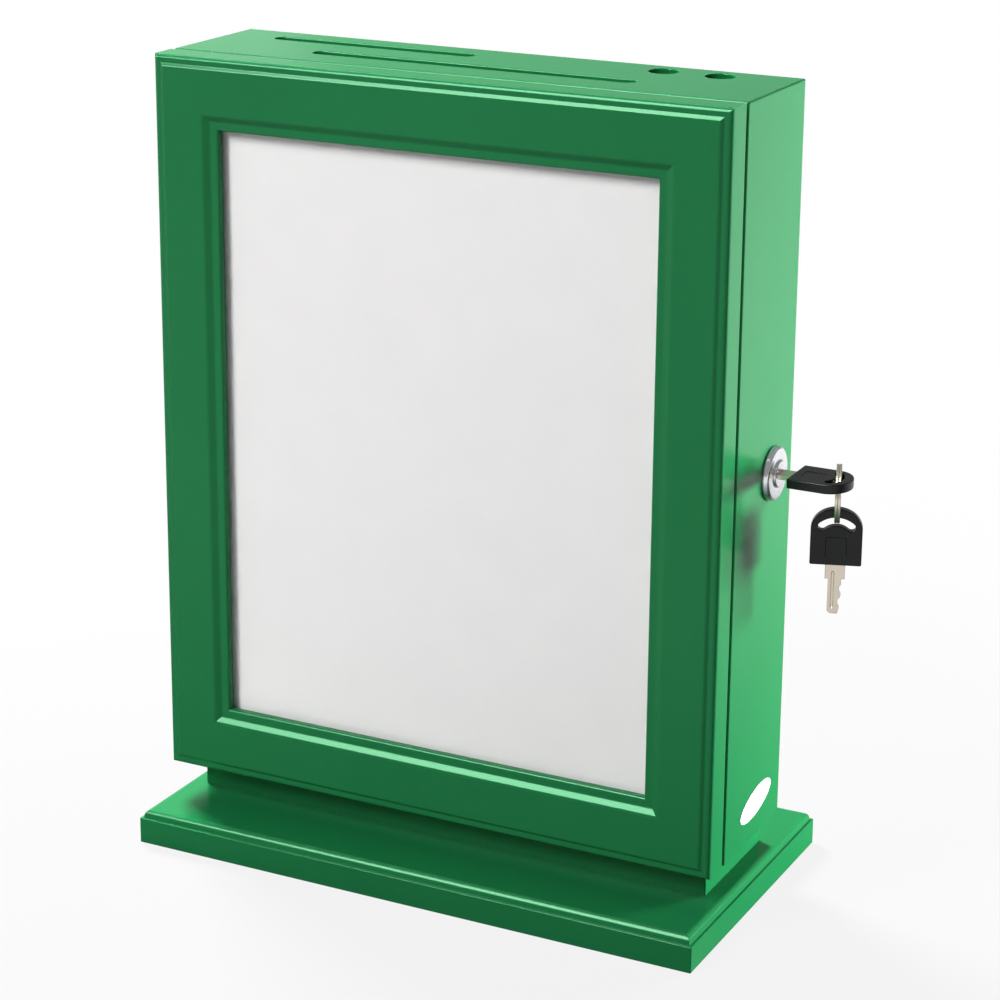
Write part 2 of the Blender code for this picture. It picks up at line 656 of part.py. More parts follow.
def lock_body(right_side):
    """The lock's housing with its round flange and double-D barrel, its hole in the side, and its nut."""
    outwards = (1, 0, 0)
    bore = PLUG_RADIUS + RUNNING_GAP
    shoulder = (bore + FLANGE_RADIUS) / 2
    rim_height = METAL_GAP + FLANGE_EDGE
    dome_radii = (FLANGE_RADIUS - shoulder, FLANGE_DOME - rim_height)
    profile = [
        (0, FLANGE_DOME),
        *arc((shoulder, rim_height), dome_radii, math.pi / 2, 0),
        (FLANGE_RADIUS, METAL_GAP),
        (BARREL_RADIUS, METAL_GAP),
        (BARREL_RADIUS, -BARREL_LENGTH),
        (0, -BARREL_LENGTH),
    ]
    housing = turned("lock_housing", profile, CHROME, LOCK_CENTRE, outwards, LARGE_TURN_STEPS)
    for label, side_low, side_high in (
        ("front", -FLANGE_RADIUS, -BARREL_FLAT),
        ("back", BARREL_FLAT, FLANGE_RADIUS),
    ):
        low = LOCK_CENTRE + Vector((-BARREL_LENGTH - CUT_OVERRUN, side_low, -FLANGE_RADIUS))
        high = LOCK_CENTRE + Vector((0, side_high, FLANGE_RADIUS))
        cut(housing, block(f"cut_barrel_{label}_flat", low, high))
    middle = LOCK_CENTRE + Vector(((FLANGE_DOME - BARREL_LENGTH) / 2, 0, 0))
    length = BARREL_LENGTH + FLANGE_DOME + 2 * CUT_OVERRUN
    cut(housing, rod("cut_lock_bore", middle, outwards, bore, length, steps=LARGE_TURN_STEPS))
    opening = double_d(BARREL_RADIUS + GLUE_GAP, BARREL_FLAT + GLUE_GAP)
    mesh = outline_mesh("cut_lock_hole", [opening], BOARD + 2 * CUT_OVERRUN)
    cut(right_side, add("cut_lock_hole", mesh, None, LOCK_CENTRE - Vector((BOARD / 2, 0, 0)), SIDE_TURN))
    nut_at = LOCK_CENTRE - Vector((BOARD + METAL_GAP + NUT_THICKNESS / 2, 0, 0))
    nut = rod("lock_nut", nut_at, outwards, NUT_RADIUS, NUT_THICKNESS, STEEL, 6)
    bore, length = BARREL_RADIUS + RUNNING_GAP, NUT_THICKNESS + 2 * CUT_OVERRUN
    cut(nut, rod("cut_nut_bore", nut_at, outwards, bore, length, steps=LARGE_TURN_STEPS))


def plug_and_cam():
    """The plug with its keyway and square tang, the hook cam on the tang, and the screw that holds it."""
    face = PLUG_PROUD
    profile = [(0, face), (PLUG_RADIUS, face), (PLUG_RADIUS, -BARREL_LENGTH), (0, -BARREL_LENGTH)]
    plug = turned("lock_plug", profile, CHROME, LOCK_CENTRE, (1, 0, 0), LARGE_TURN_STEPS)
    half = TANG_SIDE / 2
    tang_end = CAM_FRONT_DEPTH + CAM_THICKNESS - METAL_GAP
    tang = block(
        "join_plug_tang",
        LOCK_CENTRE + Vector((-tang_end, -half, -half)),
        LOCK_CENTRE + Vector((-BARREL_LENGTH + CUT_OVERRUN, half, half)),
    )
    boolean(plug, tang, "UNION")
    wide, thick = BLADE_WIDTH / 2 + METAL_GAP, KEY_THICKNESS / 2 + METAL_GAP
    keyway = block(
        "cut_keyway",
        LOCK_CENTRE + Vector((face - KEYWAY_DEPTH, -wide, -thick)),
        LOCK_CENTRE + Vector((face + CUT_OVERRUN, wide, thick)),
    )
    cut(plug, keyway)
    head_at = LOCK_CENTRE - Vector((CAM_FRONT_DEPTH + CAM_THICKNESS + METAL_GAP, 0, 0))
    head = [(0, CAM_SCREW_HEAD), (CAM_SCREW_HEAD_RADIUS, CAM_SCREW_HEAD), (CAM_SCREW_HEAD_RADIUS, 0)]
    shank = [(CAM_SCREW_RADIUS, 0), (CAM_SCREW_RADIUS, -CAM_SCREW_LENGTH), (0, -CAM_SCREW_LENGTH)]
    screw = turned("cam_screw", head + shank, STEEL, head_at, (-1, 0, 0))
    grown = CAM_SCREW_RADIUS + RUNNING_GAP
    hole_low = CAM_SCREW_LENGTH + METAL_GAP
    hole_profile = [(0, CAM_THICKNESS), (grown, CAM_THICKNESS), (grown, -hole_low), (0, -hole_low)]
    cut(plug, turned("cut_cam_screw", hole_profile, None, head_at, (-1, 0, 0)))
    return [plug, hook_cam(), screw]


def hook_cam():
    """The cam points up when unlocked. Its notch opens to the front, the way the hook travels to lock."""
    half = CAM_ARM_WIDTH / 2
    corner = half / 2
    spread = math.asin(half / CAM_HUB_RADIUS)
    outline = [
        *arc((0, 0), (CAM_HUB_RADIUS, CAM_HUB_RADIUS), spread, 2 * math.pi - spread, 4 * ARC_STEPS),
        (CAM_TIP - corner, -half),
        (CAM_TIP, corner - half),
        (CAM_TIP, half - corner),
        (CAM_TIP - corner, half),
        (STRIKE_REACH + CAM_NOTCH, half),
        *arc((STRIKE_REACH, 0), (CAM_NOTCH, CAM_NOTCH), 0, -math.pi, 2 * ARC_STEPS),
        (STRIKE_REACH - CAM_NOTCH, half),
    ]
    side = TANG_SIDE / 2 + RUNNING_GAP
    square = [(side, side), (side, -side), (-side, -side), (-side, side)]
    mesh = outline_mesh("hook_cam", [outline, square], CAM_THICKNESS)
    centre = LOCK_CENTRE - Vector((CAM_FRONT_DEPTH + CAM_THICKNESS / 2, 0, 0))
    return add("hook_cam", mesh, STEEL, centre, basis((0, 0, 1), (0, -1, 0), (1, 0, 0)))


def keeper(right_stile):
    """A bracket on the door's back with two ears and a strike pin, which the hook cam catches."""
    cam_x = HALF_WIDTH - CAM_FRONT_DEPTH - CAM_THICKNESS / 2
    inside = CAM_THICKNESS / 2 + KEEPER_SIDE_PLAY
    outside = inside + KEEPER_METAL
    foot_front = DOOR_BACK + METAL_GAP
    foot_back = foot_front + KEEPER_METAL
    half = KEEPER_HEIGHT / 2
    strike_y = LOCK_Y - STRIKE_REACH
    ear_back = strike_y + 2 * STRIKE_RADIUS
    bracket = block(
        "lock_keeper",
        (cam_x - outside, foot_front, CABINET_MIDDLE - half),
        (cam_x + outside, foot_back, CABINET_MIDDLE + half),
        STEEL,
    )
    ear = KEEPER_EAR_HEIGHT / 2
    body = block(
        "join_keeper_ears",
        (cam_x - outside, foot_front + KEEPER_METAL / 2, CABINET_MIDDLE - ear),
        (cam_x + outside, ear_back, CABINET_MIDDLE + ear),
    )
    boolean(bracket, body, "UNION")
    gap = block(
        "cut_keeper_gap",
        (cam_x - inside, foot_back, CABINET_MIDDLE - ear - CUT_OVERRUN),
        (cam_x + inside, ear_back + CUT_OVERRUN, CABINET_MIDDLE + ear + CUT_OVERRUN),
    )
    cut(bracket, gap)
    centre = (cam_x, strike_y, CABINET_MIDDLE)
    length = 2 * outside + 2 * METAL_GAP
    cut(bracket, rod("cut_strike_hole", centre, (1, 0, 0), STRIKE_RADIUS + METAL_GAP, length + CUT_OVERRUN))
    strike = rod("strike_pin", centre, (1, 0, 0), STRIKE_RADIUS, length, STEEL)
    screws = []
    for number, sign in enumerate((1, -1), 1):
        at = (cam_x, foot_back, CABINET_MIDDLE + sign * (half - KEEPER_SCREW_FROM_END))
        screws.append(wood_screw(f"keeper_screw_{number}", at, (0, 1, 0), (bracket, right_stile)))
    return [bracket, strike, *screws]


def bow_outline():
    """The plastic bow from its flat end to its arch, with the crescent slot that the ring passes through."""
    half = BOW_WIDTH / 2
    arch_start = BOW_LENGTH - BOW_ARCH_RISE
    arch = arc((arch_start, 0), (BOW_ARCH_RISE, half), -math.pi / 2, math.pi / 2, 4 * ARC_STEPS)
    return [(0, -half), *arch, (0, half)]


def slot_outline():
    """The crescent slot: a band round an arc, with round ends."""
    half = BOW_SLOT_WIDTH / 2
    centre = (SLOT_ARC_CENTRE, 0)
    outer, inner = BOW_SLOT_RADIUS + half, BOW_SLOT_RADIUS - half
    angle = BOW_SLOT_HALF_ANGLE
    outline = arc(centre, (outer, outer), -angle, angle, 2 * ARC_STEPS)
    outline += slot_end(angle, angle)
    outline += arc(centre, (inner, inner), angle, -angle, 2 * ARC_STEPS)
    outline += slot_end(-angle, math.pi - angle)
    return outline


def slot_end(turn, start):
    """The points between the ends of a half circle that closes the slot, at a turn round its arc."""
    half = BOW_SLOT_WIDTH / 2
    middle = (SLOT_ARC_CENTRE + BOW_SLOT_RADIUS * math.cos(turn), BOW_SLOT_RADIUS * math.sin(turn))
    return arc(middle, (half, half), start, start + math.pi)[1:-1]


def blade_outline():
    """The metal key: a tang inside the bow, a shoulder, and the blade with its stepped cuts and point."""
    widths = (KEY_TANG_WIDTH, SHOULDER_WIDTH, BLADE_WIDTH, BLADE_TIP_WIDTH)
    tang, shoulder, blade, tip = (width / 2 for width in widths)
    neck, stop, end = -METAL_GAP, -SHOULDER_LENGTH, -SHOULDER_LENGTH - BLADE_LENGTH
    cuts = [(stop - BLADE_LENGTH * along, blade * out) for along, out in CUT_SHARES]
    return [
        (KEY_TANG_LENGTH, -tang),
        (KEY_TANG_LENGTH, tang),
        (neck, tang),
        (neck, shoulder),
        (stop, shoulder),
        *cuts,
        (end, tip),
        (end, -tip),
        (end + blade - tip, -blade),
        (stop, -blade),
        (stop, -shoulder),
        (neck, -shoulder),
        (neck, -tang),
    ]


def key(number, at, turn):
    """A key from its bow's flat end. Local X runs to the arch of the bow, and local Z is the thickness."""
    blade_name, bow_name = f"key_{number}_blade", f"key_{number}_bow"
    blade = add(blade_name, outline_mesh(blade_name, [blade_outline()], KEY_THICKNESS), NICKEL, at, turn)
    bow_mesh = outline_mesh(bow_name, [bow_outline(), slot_outline()], BOW_THICKNESS)
    bow = add(bow_name, bow_mesh, BLACK, at, turn)
    half, end = KEY_TANG_WIDTH / 2 + METAL_GAP, KEY_TANG_LENGTH + METAL_GAP
    pocket_outline = [(-CUT_OVERRUN, -half), (end, -half), (end, half), (-CUT_OVERRUN, half)]
    name = f"cut_{bow_name}_pocket"
    pocket_mesh = outline_mesh(name, [pocket_outline], KEY_THICKNESS + 2 * METAL_GAP)
    cut(bow, add(name, pocket_mesh, None, at, turn))
    return [blade, bow]


def key_ring():
    """A plain ring through both bows, hanging from the first and turned to lie along its slot."""
    turn = basis(RING_ALONG, (0, 0, 1), RING_ACROSS)
    bpy.ops.mesh.primitive_torus_add(
        major_segments=RING_STEPS,
        minor_segments=RING_WIRE_STEPS,
        major_radius=RING_RADIUS,
        minor_radius=RING_WIRE_RADIUS,
    )
    made = bpy.context.object
    mesh = made.data
    bpy.data.objects.remove(made, do_unlink=True)
    mesh.name = "key_ring"
    return add("key_ring", mesh, NICKEL, RING_CENTRE, turn)


def label():
    """A blank oval label on the right side."""
    outline = arc((0, 0), (LABEL_LENGTH / 2, LABEL_HEIGHT / 2), 0, 2 * math.pi, LARGE_TURN_STEPS)[:-1]
    mesh = outline_mesh("oval_label", [outline], LABEL_THICKNESS)
    x = HALF_WIDTH + METAL_GAP + LABEL_THICKNESS / 2
    at = (x, HALF_DEPTH - LABEL_FROM_BACK, CABINET_BOTTOM + LABEL_FROM_BOTTOM)
    return add("oval_label", mesh, PAPER, at, SIDE_TURN @ Matrix.Rotation(LABEL_TILT, 4, "Z"))


def base_screws(base, block_above, bottom):
    """Four long screws from under the base, through the plinth and into the bottom board."""
    length = CABINET_BOTTOM + BASE_SCREW_BITE
    sizes = (BASE_SCREW_HEAD_RADIUS, BASE_SCREW_HEAD, BASE_SCREW_RADIUS, length)
    x, y = HALF_WIDTH - BASE_SCREW_FROM_SIDE, HALF_DEPTH - BASE_SCREW_FROM_BACK
    places = [(sx * x, sy * y, METAL_GAP) for sx in (-1, 1) for sy in (-1, 1)]
    for number, at in enumerate(places, 1):
        name = f"base_screw_{number}"
        hole = turned("cut_" + name, screw_profile(*sizes, SCREW_CLEARANCE), None, at, (0, 0, -1))
        for target in (base, block_above, bottom):
            cut(target, hole)
        turned(name, screw_profile(*sizes), STEEL, at, (0, 0, -1))


def hang(name, at, things, parent=None):
    """An empty on a joint's axis that carries what moves about it."""
    axis = bpy.data.objects.new(name, None)
    PARTS.objects.link(axis)
    axis.location = at
    if parent is not None:
        axis.parent = parent
        axis.matrix_parent_inverse = Matrix.Translation(-parent.location)
    for thing in things:
        thing.parent = axis
        thing.matrix_parent_inverse = Matrix.Translation(-axis.location)
    return axis


# Looks
GREEN = finish("green_paint", (0.030, 0.300, 0.095), 0.35)
BARE_BOARD = finish("bare_board", (0.36, 0.24, 0.14), 0.75)
PAPER = finish("paper", (0.72, 0.71, 0.72), 0.60)
CLEAR = finish("clear_plastic", (0.95, 0.97, 0.97), 0.05, 0.0, 0.25)
STEEL = finish("zinc_steel", (0.62, 0.62, 0.60), 0.35, 1.0)
CHROME = finish("chrome", (0.80, 0.80, 0.82), 0.12, 1.0)
NICKEL = finish("nickel", (0.66, 0.60, 0.54), 0.28, 1.0)
BLACK = finish("black_plastic", (0.012, 0.012, 0.014), 0.40)

# Places of the lock, pocket, keys and hinges. SIDE_TURN lays an outline on the right side: X back, Y up, Z out
SIDE_TURN = basis((0, 1, 0), (0, 0, 1), (1, 0, 0))
CAM_FRONT_DEPTH = BARREL_LENGTH + 2 * METAL_GAP
KEYWAY_DEPTH = BLADE_LENGTH + METAL_GAP
KEEPER_BACK = DOOR_BACK + METAL_GAP + KEEPER_METAL
CAM_NOTCH = STRIKE_RADIUS + STRIKE_PLAY
STRIKE_REACH = LOCK_Y - KEEPER_BACK - CAM_DOOR_CLEARANCE - CAM_NOSE - CAM_NOTCH
CAM_TIP = STRIKE_REACH + CAM_NOTCH + CAM_NOSE
POCKET_FLOOR_TOP = CABINET_MIDDLE + CAM_TIP + POCKET_OVER_CAM + POCKET_FLOOR
KEY_1_PLACE = LOCK_CENTRE + Vector((PLUG_PROUD + METAL_GAP + SHOULDER_LENGTH, 0, 0))
SLOT_ARC_CENTRE = BOW_LENGTH - BOW_SLOT_TO_ARCH - BOW_SLOT_WIDTH / 2 - BOW_SLOT_RADIUS
RING_ALONG = Vector((-math.sin(RING_TURN), math.cos(RING_TURN), 0))
RING_ACROSS = Vector((math.cos(RING_TURN), math.sin(RING_TURN), 0))
KNUCKLE_OFFSET = KNUCKLE_RADIUS + GLUE_GAP
HINGE_SCREW_X = BOARD / 2
HINGE_AXIS = (-HALF_WIDTH - KNUCKLE_OFFSET, CABINET_FRONT - DOOR_GAP / 2)


def ring_seat():
    """The middle of the bow's side bar, along and across key 1, where the ring's wire clears the slot."""
    slot_end = BOW_SLOT_RADIUS * math.sin(BOW_SLOT_HALF_ANGLE) + BOW_SLOT_WIDTH / 2
    across = (slot_end + BOW_WIDTH / 2) / 2
    inner, outer = RING_RADIUS - RING_WIRE_RADIUS, RING_RADIUS + RING_WIRE_RADIUS
    half = BOW_THICKNESS / 2
    near = math.sqrt(inner ** 2 - (RING_DROP + half) ** 2)
    far = math.sqrt(outer ** 2 - (RING_DROP - half) ** 2)
    seats = []
    for reach in (near, far):
        side = across - reach * math.cos(RING_TURN)
        slot = SLOT_ARC_CENTRE + math.sqrt(BOW_SLOT_RADIUS ** 2 - side ** 2)
        seats.append(slot - reach * math.sin(RING_TURN))
    return sum(seats) / 2, across


RING_SEAT = ring_seat()
RING_AXIS_PLACE = KEY_1_PLACE + Vector((RING_SEAT[0], RING_SEAT[1], 0))
RING_CENTRE = RING_AXIS_PLACE - Vector((0, 0, RING_DROP))
KEY_2_AXIS_PLACE = RING_CENTRE - Vector((0, 0, RING_RADIUS))
KEY_2_PLACE = KEY_2_AXIS_PLACE + Vector((0, 0, RING_WIRE_RADIUS + RING_PLAY + BOW_SLOT_TO_ARCH - BOW_LENGTH))

clear_scene()
base_part = moulded_base()
plinth_part = plinth()
left_side_part, right_side_part, bottom_part = cabinet()
pocket()
left_stile_part, right_stile_part, door_parts = door()
button_parts, button_screw_parts = turn_buttons(left_stile_part, right_stile_part)
door_parts += button_screw_parts
door_parts += hinges(left_side_part, left_stile_part)
lock_body(right_side_part)
plug_parts = plug_and_cam()
door_parts += keeper(right_stile_part)
key_1_parts = key(1, KEY_1_PLACE, Matrix.Identity(4))
ring_part = key_ring()
key_2_parts = key(2, KEY_2_PLACE, basis((0, 0, 1), RING_ACROSS, RING_ALONG))
label()
base_screws(base_part, plinth_part, bottom_part)

door_axis = hang("door_axis", (HINGE_AXIS[0], HINGE_AXIS[1], CABINET_MIDDLE), door_parts)
for button_number, button_part in enumerate(button_parts, 1):
    hang(f"turn_button_{button_number}_axis", button_part.location, [button_part], door_axis)
plug_axis = hang("lock_plug_axis", LOCK_CENTRE, plug_parts)
key_1_axis = hang("key_1_axis", KEY_1_PLACE, key_1_parts, plug_axis)
ring_axis = hang("key_ring_axis", RING_AXIS_PLACE, [ring_part], key_1_axis)
hang("key_2_axis", KEY_2_AXIS_PLACE, key_2_parts, ring_axis)
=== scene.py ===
"""Suggestion box: a green painted cabinet with a display door, slots in its top, a cam lock and two keys."""
import math

import bmesh
import bpy
import numpy as np
from mathutils import Matrix, Vector
from mathutils.geometry import tessellate_polygon


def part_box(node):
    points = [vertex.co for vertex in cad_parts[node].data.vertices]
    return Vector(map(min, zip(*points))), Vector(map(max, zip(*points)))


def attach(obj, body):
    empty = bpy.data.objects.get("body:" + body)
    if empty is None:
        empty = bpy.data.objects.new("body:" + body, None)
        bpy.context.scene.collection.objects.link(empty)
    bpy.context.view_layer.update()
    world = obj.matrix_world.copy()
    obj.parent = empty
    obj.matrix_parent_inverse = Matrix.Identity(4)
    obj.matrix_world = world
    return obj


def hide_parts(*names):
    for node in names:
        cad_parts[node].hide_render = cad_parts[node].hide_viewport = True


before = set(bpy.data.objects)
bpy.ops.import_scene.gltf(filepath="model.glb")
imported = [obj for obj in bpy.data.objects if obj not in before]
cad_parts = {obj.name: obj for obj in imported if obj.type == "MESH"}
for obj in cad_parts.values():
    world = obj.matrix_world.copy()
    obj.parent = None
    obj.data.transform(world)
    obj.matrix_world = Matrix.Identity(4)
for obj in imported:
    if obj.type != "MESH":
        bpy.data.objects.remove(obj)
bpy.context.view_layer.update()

MM = 0.001
WELD = 0.0001 * MM
SUPPORT = 0.4 * MM
QUARTER = math.pi / 2
CREASE = 32


# Outlines in a plane

def soften(corners, radii, support=SUPPORT, steps=5):
    """A closed outline with eased corners. A corner P gives (1-u)^2 A + 2u(1-u) P + u^2 B, where A and B lie
    a radius back along its two sides, with one support point beyond each of them. A radius may be a pair."""
    corners = np.asarray(corners, float)
    radii = np.array([np.broadcast_to(radius, 2) for radius in radii], float)
    back = np.roll(corners, 1, 0) - corners
    ahead = np.roll(corners, -1, 0) - corners
    back /= np.linalg.norm(back, axis=1, keepdims=True)
    ahead /= np.linalg.norm(ahead, axis=1, keepdims=True)
    u = np.linspace(0, 1, steps + 1)[None, :, None]
    start = (corners + back * radii[:, :1])[:, None]
    end = (corners + ahead * radii[:, 1:])[:, None]
    curve = (1 - u) ** 2 * start + 2 * u * (1 - u) * corners[:, None] + u ** 2 * end
    before = (corners + back * (radii[:, :1] + support))[:, None]
    after = (corners + ahead * (radii[:, 1:] + support))[:, None]
    return np.concatenate([before, curve, after], 1).reshape(-1, 2)


def rectangle(low, high):
    """The four corners between two corners, anticlockwise from the lowest."""
    return np.array([(low[0], low[1]), (high[0], low[1]), (high[0], high[1]), (low[0], high[1])], float)


def arc(centre, radii, start, end, steps):
    """Points on an ellipse: the centre plus each radius times the cosine and the sine of a turning angle."""
    t = np.linspace(start, end, steps + 1)
    radii = np.broadcast_to(radii, 2)
    return np.stack([centre[0] + radii[0] * np.cos(t), centre[1] + radii[1] * np.sin(t)], -1)


def ellipse(radii, steps):
    """A whole ellipse about the origin, as an arc of a full turn without its doubled last point."""
    return arc((0, 0), radii, 0, 2 * math.pi, steps)[:-1]


def stadium(centre, half_length, radius, steps=12):
    """A slot outline: two half circles whose centres lie a half length either side of the middle along X."""
    right = arc((centre[0] + half_length, centre[1]), radius, -QUARTER, QUARTER, steps)
    left = arc((centre[0] - half_length, centre[1]), radius, QUARTER, 3 * QUARTER, steps)
    return np.concatenate([right, left])


def inset(outline, by):
    """Each point of an anticlockwise outline moved inwards along the mitre of its two sides' normals."""
    ahead = np.roll(outline, -1, 0) - outline
    sides = np.stack([-ahead[:, 1], ahead[:, 0]], -1)
    sides /= np.linalg.norm(sides, axis=1, keepdims=True)
    mitre = sides + np.roll(sides, 1, 0)
    return outline + by * 2 * mitre / (mitre ** 2).sum(1, keepdims=True)


# Meshes

class Shell:
    """Points and faces gathered patch by patch, then welded into one closed mesh."""

    def __init__(self):
        self.points, self.faces, self.count = [], [], 0

    def add(self, points, faces):
        self.points.append(points)
        self.faces += (faces + self.count).tolist()
        self.count += len(points)

    def band(self, rows, loop=False):
        """Quads between each row of points and the next. Every row closes on itself, and loop joins the last
        row to the first."""
        rows = np.asarray(rows, float)
        if loop:
            rows = np.concatenate([rows, rows[:1]])
        height, width = rows.shape[:2]
        across = np.arange(width)[None]
        down = np.arange(height - 1)[:, None] * width
        after = (across + 1) % width
        quads = np.stack([down + across, down + after, down + width + after, down + width + across], -1)
        self.add(rows.reshape(-1, 3), quads.reshape(-1, 4))

    def walls(self, outlines, heights):
        """A band through flat outlines, each lifted to its height along Z."""
        self.band([lift(outline, height) for outline, height in zip(outlines, heights)])

    def lid(self, loops, height):
        """A face between closed outlines, in triangles. The first is its border and the rest are holes. Its
        height is a number, or a function of its points where the face slants."""
        kept = [loop[np.linalg.norm(loop - np.roll(loop, 1, 0), axis=1) > WELD] for loop in loops]
        flat = np.concatenate(kept)
        corners = tessellate_polygon([[Vector((x, y, 0)) for x, y in loop.tolist()] for loop in kept])
        self.add(lift(flat, height(flat) if callable(height) else height), np.array(corners))


def lift(outline, height):
    """Flat points given a height along Z, one for all or one for each."""
    heights = np.broadcast_to(height, len(outline))
    return np.concatenate([outline, heights[:, None]], 1)


def piece(name, shell, finish, body, nodes, place=None, crease=CREASE):
    """Welds a shell, puts it in its place and lets it stand for the CAD nodes that it replaces."""
    mesh = bpy.data.meshes.new(name)
    mesh.from_pydata(np.concatenate(shell.points).tolist(), [], shell.faces)
    bm = bmesh.new()
    bm.from_mesh(mesh)
    bmesh.ops.transform(bm, matrix=place or Matrix.Identity(4), verts=bm.verts)
    bmesh.ops.remove_doubles(bm, verts=bm.verts, dist=WELD)
    bmesh.ops.dissolve_degenerate(bm, edges=bm.edges, dist=WELD)
    bmesh.ops.recalc_face_normals(bm, faces=bm.faces)
    bm.to_mesh(mesh)
    bm.free()
    mesh.shade_smooth()
    mesh.set_sharp_from_angle(angle=math.radians(crease))
    mesh.materials.append(LOOKS[finish])
    made = bpy.data.objects.new(name, mesh)
    bpy.context.scene.collection.objects.link(made)
    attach(made, body)
    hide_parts(*nodes)


def basis(x_axis, y_axis, z_axis, at):
    """The placing whose columns are the three axes and the origin."""
    return Matrix.Translation(Vector(at)) @ Matrix((x_axis, y_axis, z_axis)).transposed().to_4x4()


def dress(finish, *nodes):
    """Gives a finish to CAD nodes whose own shape is kept."""
    for node in nodes:
        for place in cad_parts[node].material_slots:
            place.material = LOOKS[finish]


# Materials

WHITE = (1, 1, 1, 1)
BLACK = (0, 0, 0, 1)


class Wire:
    """A node's socket. A sum or product of it adds a Math node, so a pattern is written as an expression."""

    def __init__(self, look, socket):
        self.look, self.socket = look, socket

    def __add__(self, other):
        return self.look.maths("ADD", self, other)

    def __mul__(self, other):
        return self.look.maths("MULTIPLY", self, other)

    __radd__, __rmul__ = __add__, __mul__


class Look:
    """A node material or world. node() adds a node: first its settings, then its sockets' values or links."""

    def __init__(self, owner, output):
        self.owner = owner
        owner.use_nodes = True
        self.tree = owner.node_tree
        self.tree.nodes.clear()
        self.output = self.tree.nodes.new(output)

    def node(self, kind, settings=None, sockets=None, out=0):
        made = self.tree.nodes.new("ShaderNode" + kind)
        for key, value in (settings or {}).items():
            setattr(made, key, value)
        for key, value in (sockets or {}).items():
            self.put(made.inputs[key], value)
        return Wire(self, made.outputs[out])

    def put(self, socket, value):
        """Links a wire to a socket, or sets the socket to a plain value."""
        if isinstance(value, Wire):
            self.tree.links.new(value.socket, socket)
        else:
            socket.default_value = value

    def maths(self, operation, a, b):
        return self.node("Math", {"operation": operation}, {0: a, 1: b})

    def blend(self, factor, a, b):
        """A colour between two, by a factor."""
        return self.node("Mix", {"data_type": "RGBA"}, {0: factor, 6: a, 7: b}, out=2)

    def ramp(self, value, bounds, results, curve="LINEAR"):
        """A number that goes from one result to the other while a value goes between two bounds."""
        sockets = {0: value, 1: bounds[0], 2: bounds[1], 3: results[0], 4: results[1]}
        return self.node("MapRange", {"interpolation_type": curve}, sockets)

    def place(self):
        return self.node("TexCoord", out="Object")

    def noise(self, place, scale, detail, roughness=0.5):
        sockets = {"Vector": place, "Scale": scale, "Detail": detail, "Roughness": roughness}
        return self.node("TexNoise", sockets=sockets)

    def stretched(self, place, sizes):
        return self.node("Mapping", sockets={"Vector": place, "Scale": sizes})

    def bumped(self, height, strength, distance):
        return self.node("Bump", sockets={"Strength": strength, "Distance": distance, "Height": height})

    def rays(self, *kinds):
        """For each kind of ray, a wire that is 1 for rays of that kind and 0 for the rest."""
        outputs = self.node("LightPath").socket.node.outputs
        return [Wire(self, outputs[f"Is {kind} Ray"]) for kind in kinds]

    def end(self, shader):
        self.put(self.output.inputs["Surface"], shader)
        return self.owner


def material(name):
    return Look(bpy.data.materials.new(name), "ShaderNodeOutputMaterial")


def shade(red, green, blue):
    """A colour from its 0 to 255 screen values, as the shader's linear colour."""
    screen = np.array([red, green, blue]) / 255
    linear = np.where(screen <= 0.04045, screen / 12.92, ((screen + 0.055) / 1.055) ** 2.4)
    return (*linear.tolist(), 1.0)


def satin_green():
    """Sprayed satin paint: a faint drift of colour, fine orange peel and a slightly uneven gloss."""
    look = material("green_paint")
    place = look.place()
    drift = look.noise(place, scale=14, detail=3)
    peel = look.noise(place, scale=620, detail=2)
    grain = look.noise(look.stretched(place, (60, 60, 900)), scale=1, detail=3)
    paint = look.node("BsdfPrincipled", sockets={
        "Base Color": look.blend(drift, shade(21, 105, 59), shade(28, 113, 64)),
        "Roughness": 0.16 + drift * 0.05 + peel * 0.02,
        "Specular IOR Level": 0.27,
        "Specular Tint": (0.42, 1.0, 0.60, 1.0),
        "Normal": look.bumped(peel + grain * 0.5, strength=0.14, distance=0.02 * MM),
    })
    return look.end(paint)


def hardboard():
    """Bare hardboard: brown fibres matted in all directions."""
    look = material("bare_board")
    place = look.place()
    fibres = look.noise(look.stretched(place, (900, 900, 260)), scale=1, detail=5, roughness=0.7)
    cloud = look.noise(place, scale=30, detail=4)
    board = look.node("BsdfPrincipled", sockets={
        "Base Color": look.blend(fibres * 0.7 + cloud * 0.3, shade(104, 74, 46), shade(178, 142, 100)),
        "Roughness": 0.72 + fibres * 0.2,
        "Normal": look.bumped(fibres, strength=0.4, distance=0.08 * MM),
    })
    return look.end(board)


def plain_paper():
    """Matt paper with faint fibres."""
    look = material("paper")
    place = look.place()
    fibres = look.noise(place, scale=1400, detail=4, roughness=0.7)
    cloud = look.noise(place, scale=60, detail=3)
    sheet = look.node("BsdfPrincipled", sockets={
        "Base Color": look.blend(fibres * 0.5 + cloud * 0.5, shade(232, 229, 230), shade(241, 239, 239)),
        "Roughness": 0.65 + fibres * 0.15,
        "Specular IOR Level": 0.25,
        "Normal": look.bumped(fibres, strength=0.15, distance=0.02 * MM),
    })
    return look.end(sheet)


def clear_sheet():
    """Polished clear plastic: see-through, with a reflection that grows towards the edge of sight."""
    look = material("clear_plastic")
    haze = look.noise(look.place(), scale=40, detail=3)
    glaze = look.node("BsdfPrincipled", sockets={
        "Base Color": shade(245, 249, 248),
        "Roughness": 0.03 + haze * 0.03,
        "Alpha": 0.05 + haze * 0.02,
        "Specular IOR Level": 0.5,
    })
    return look.end(glaze)


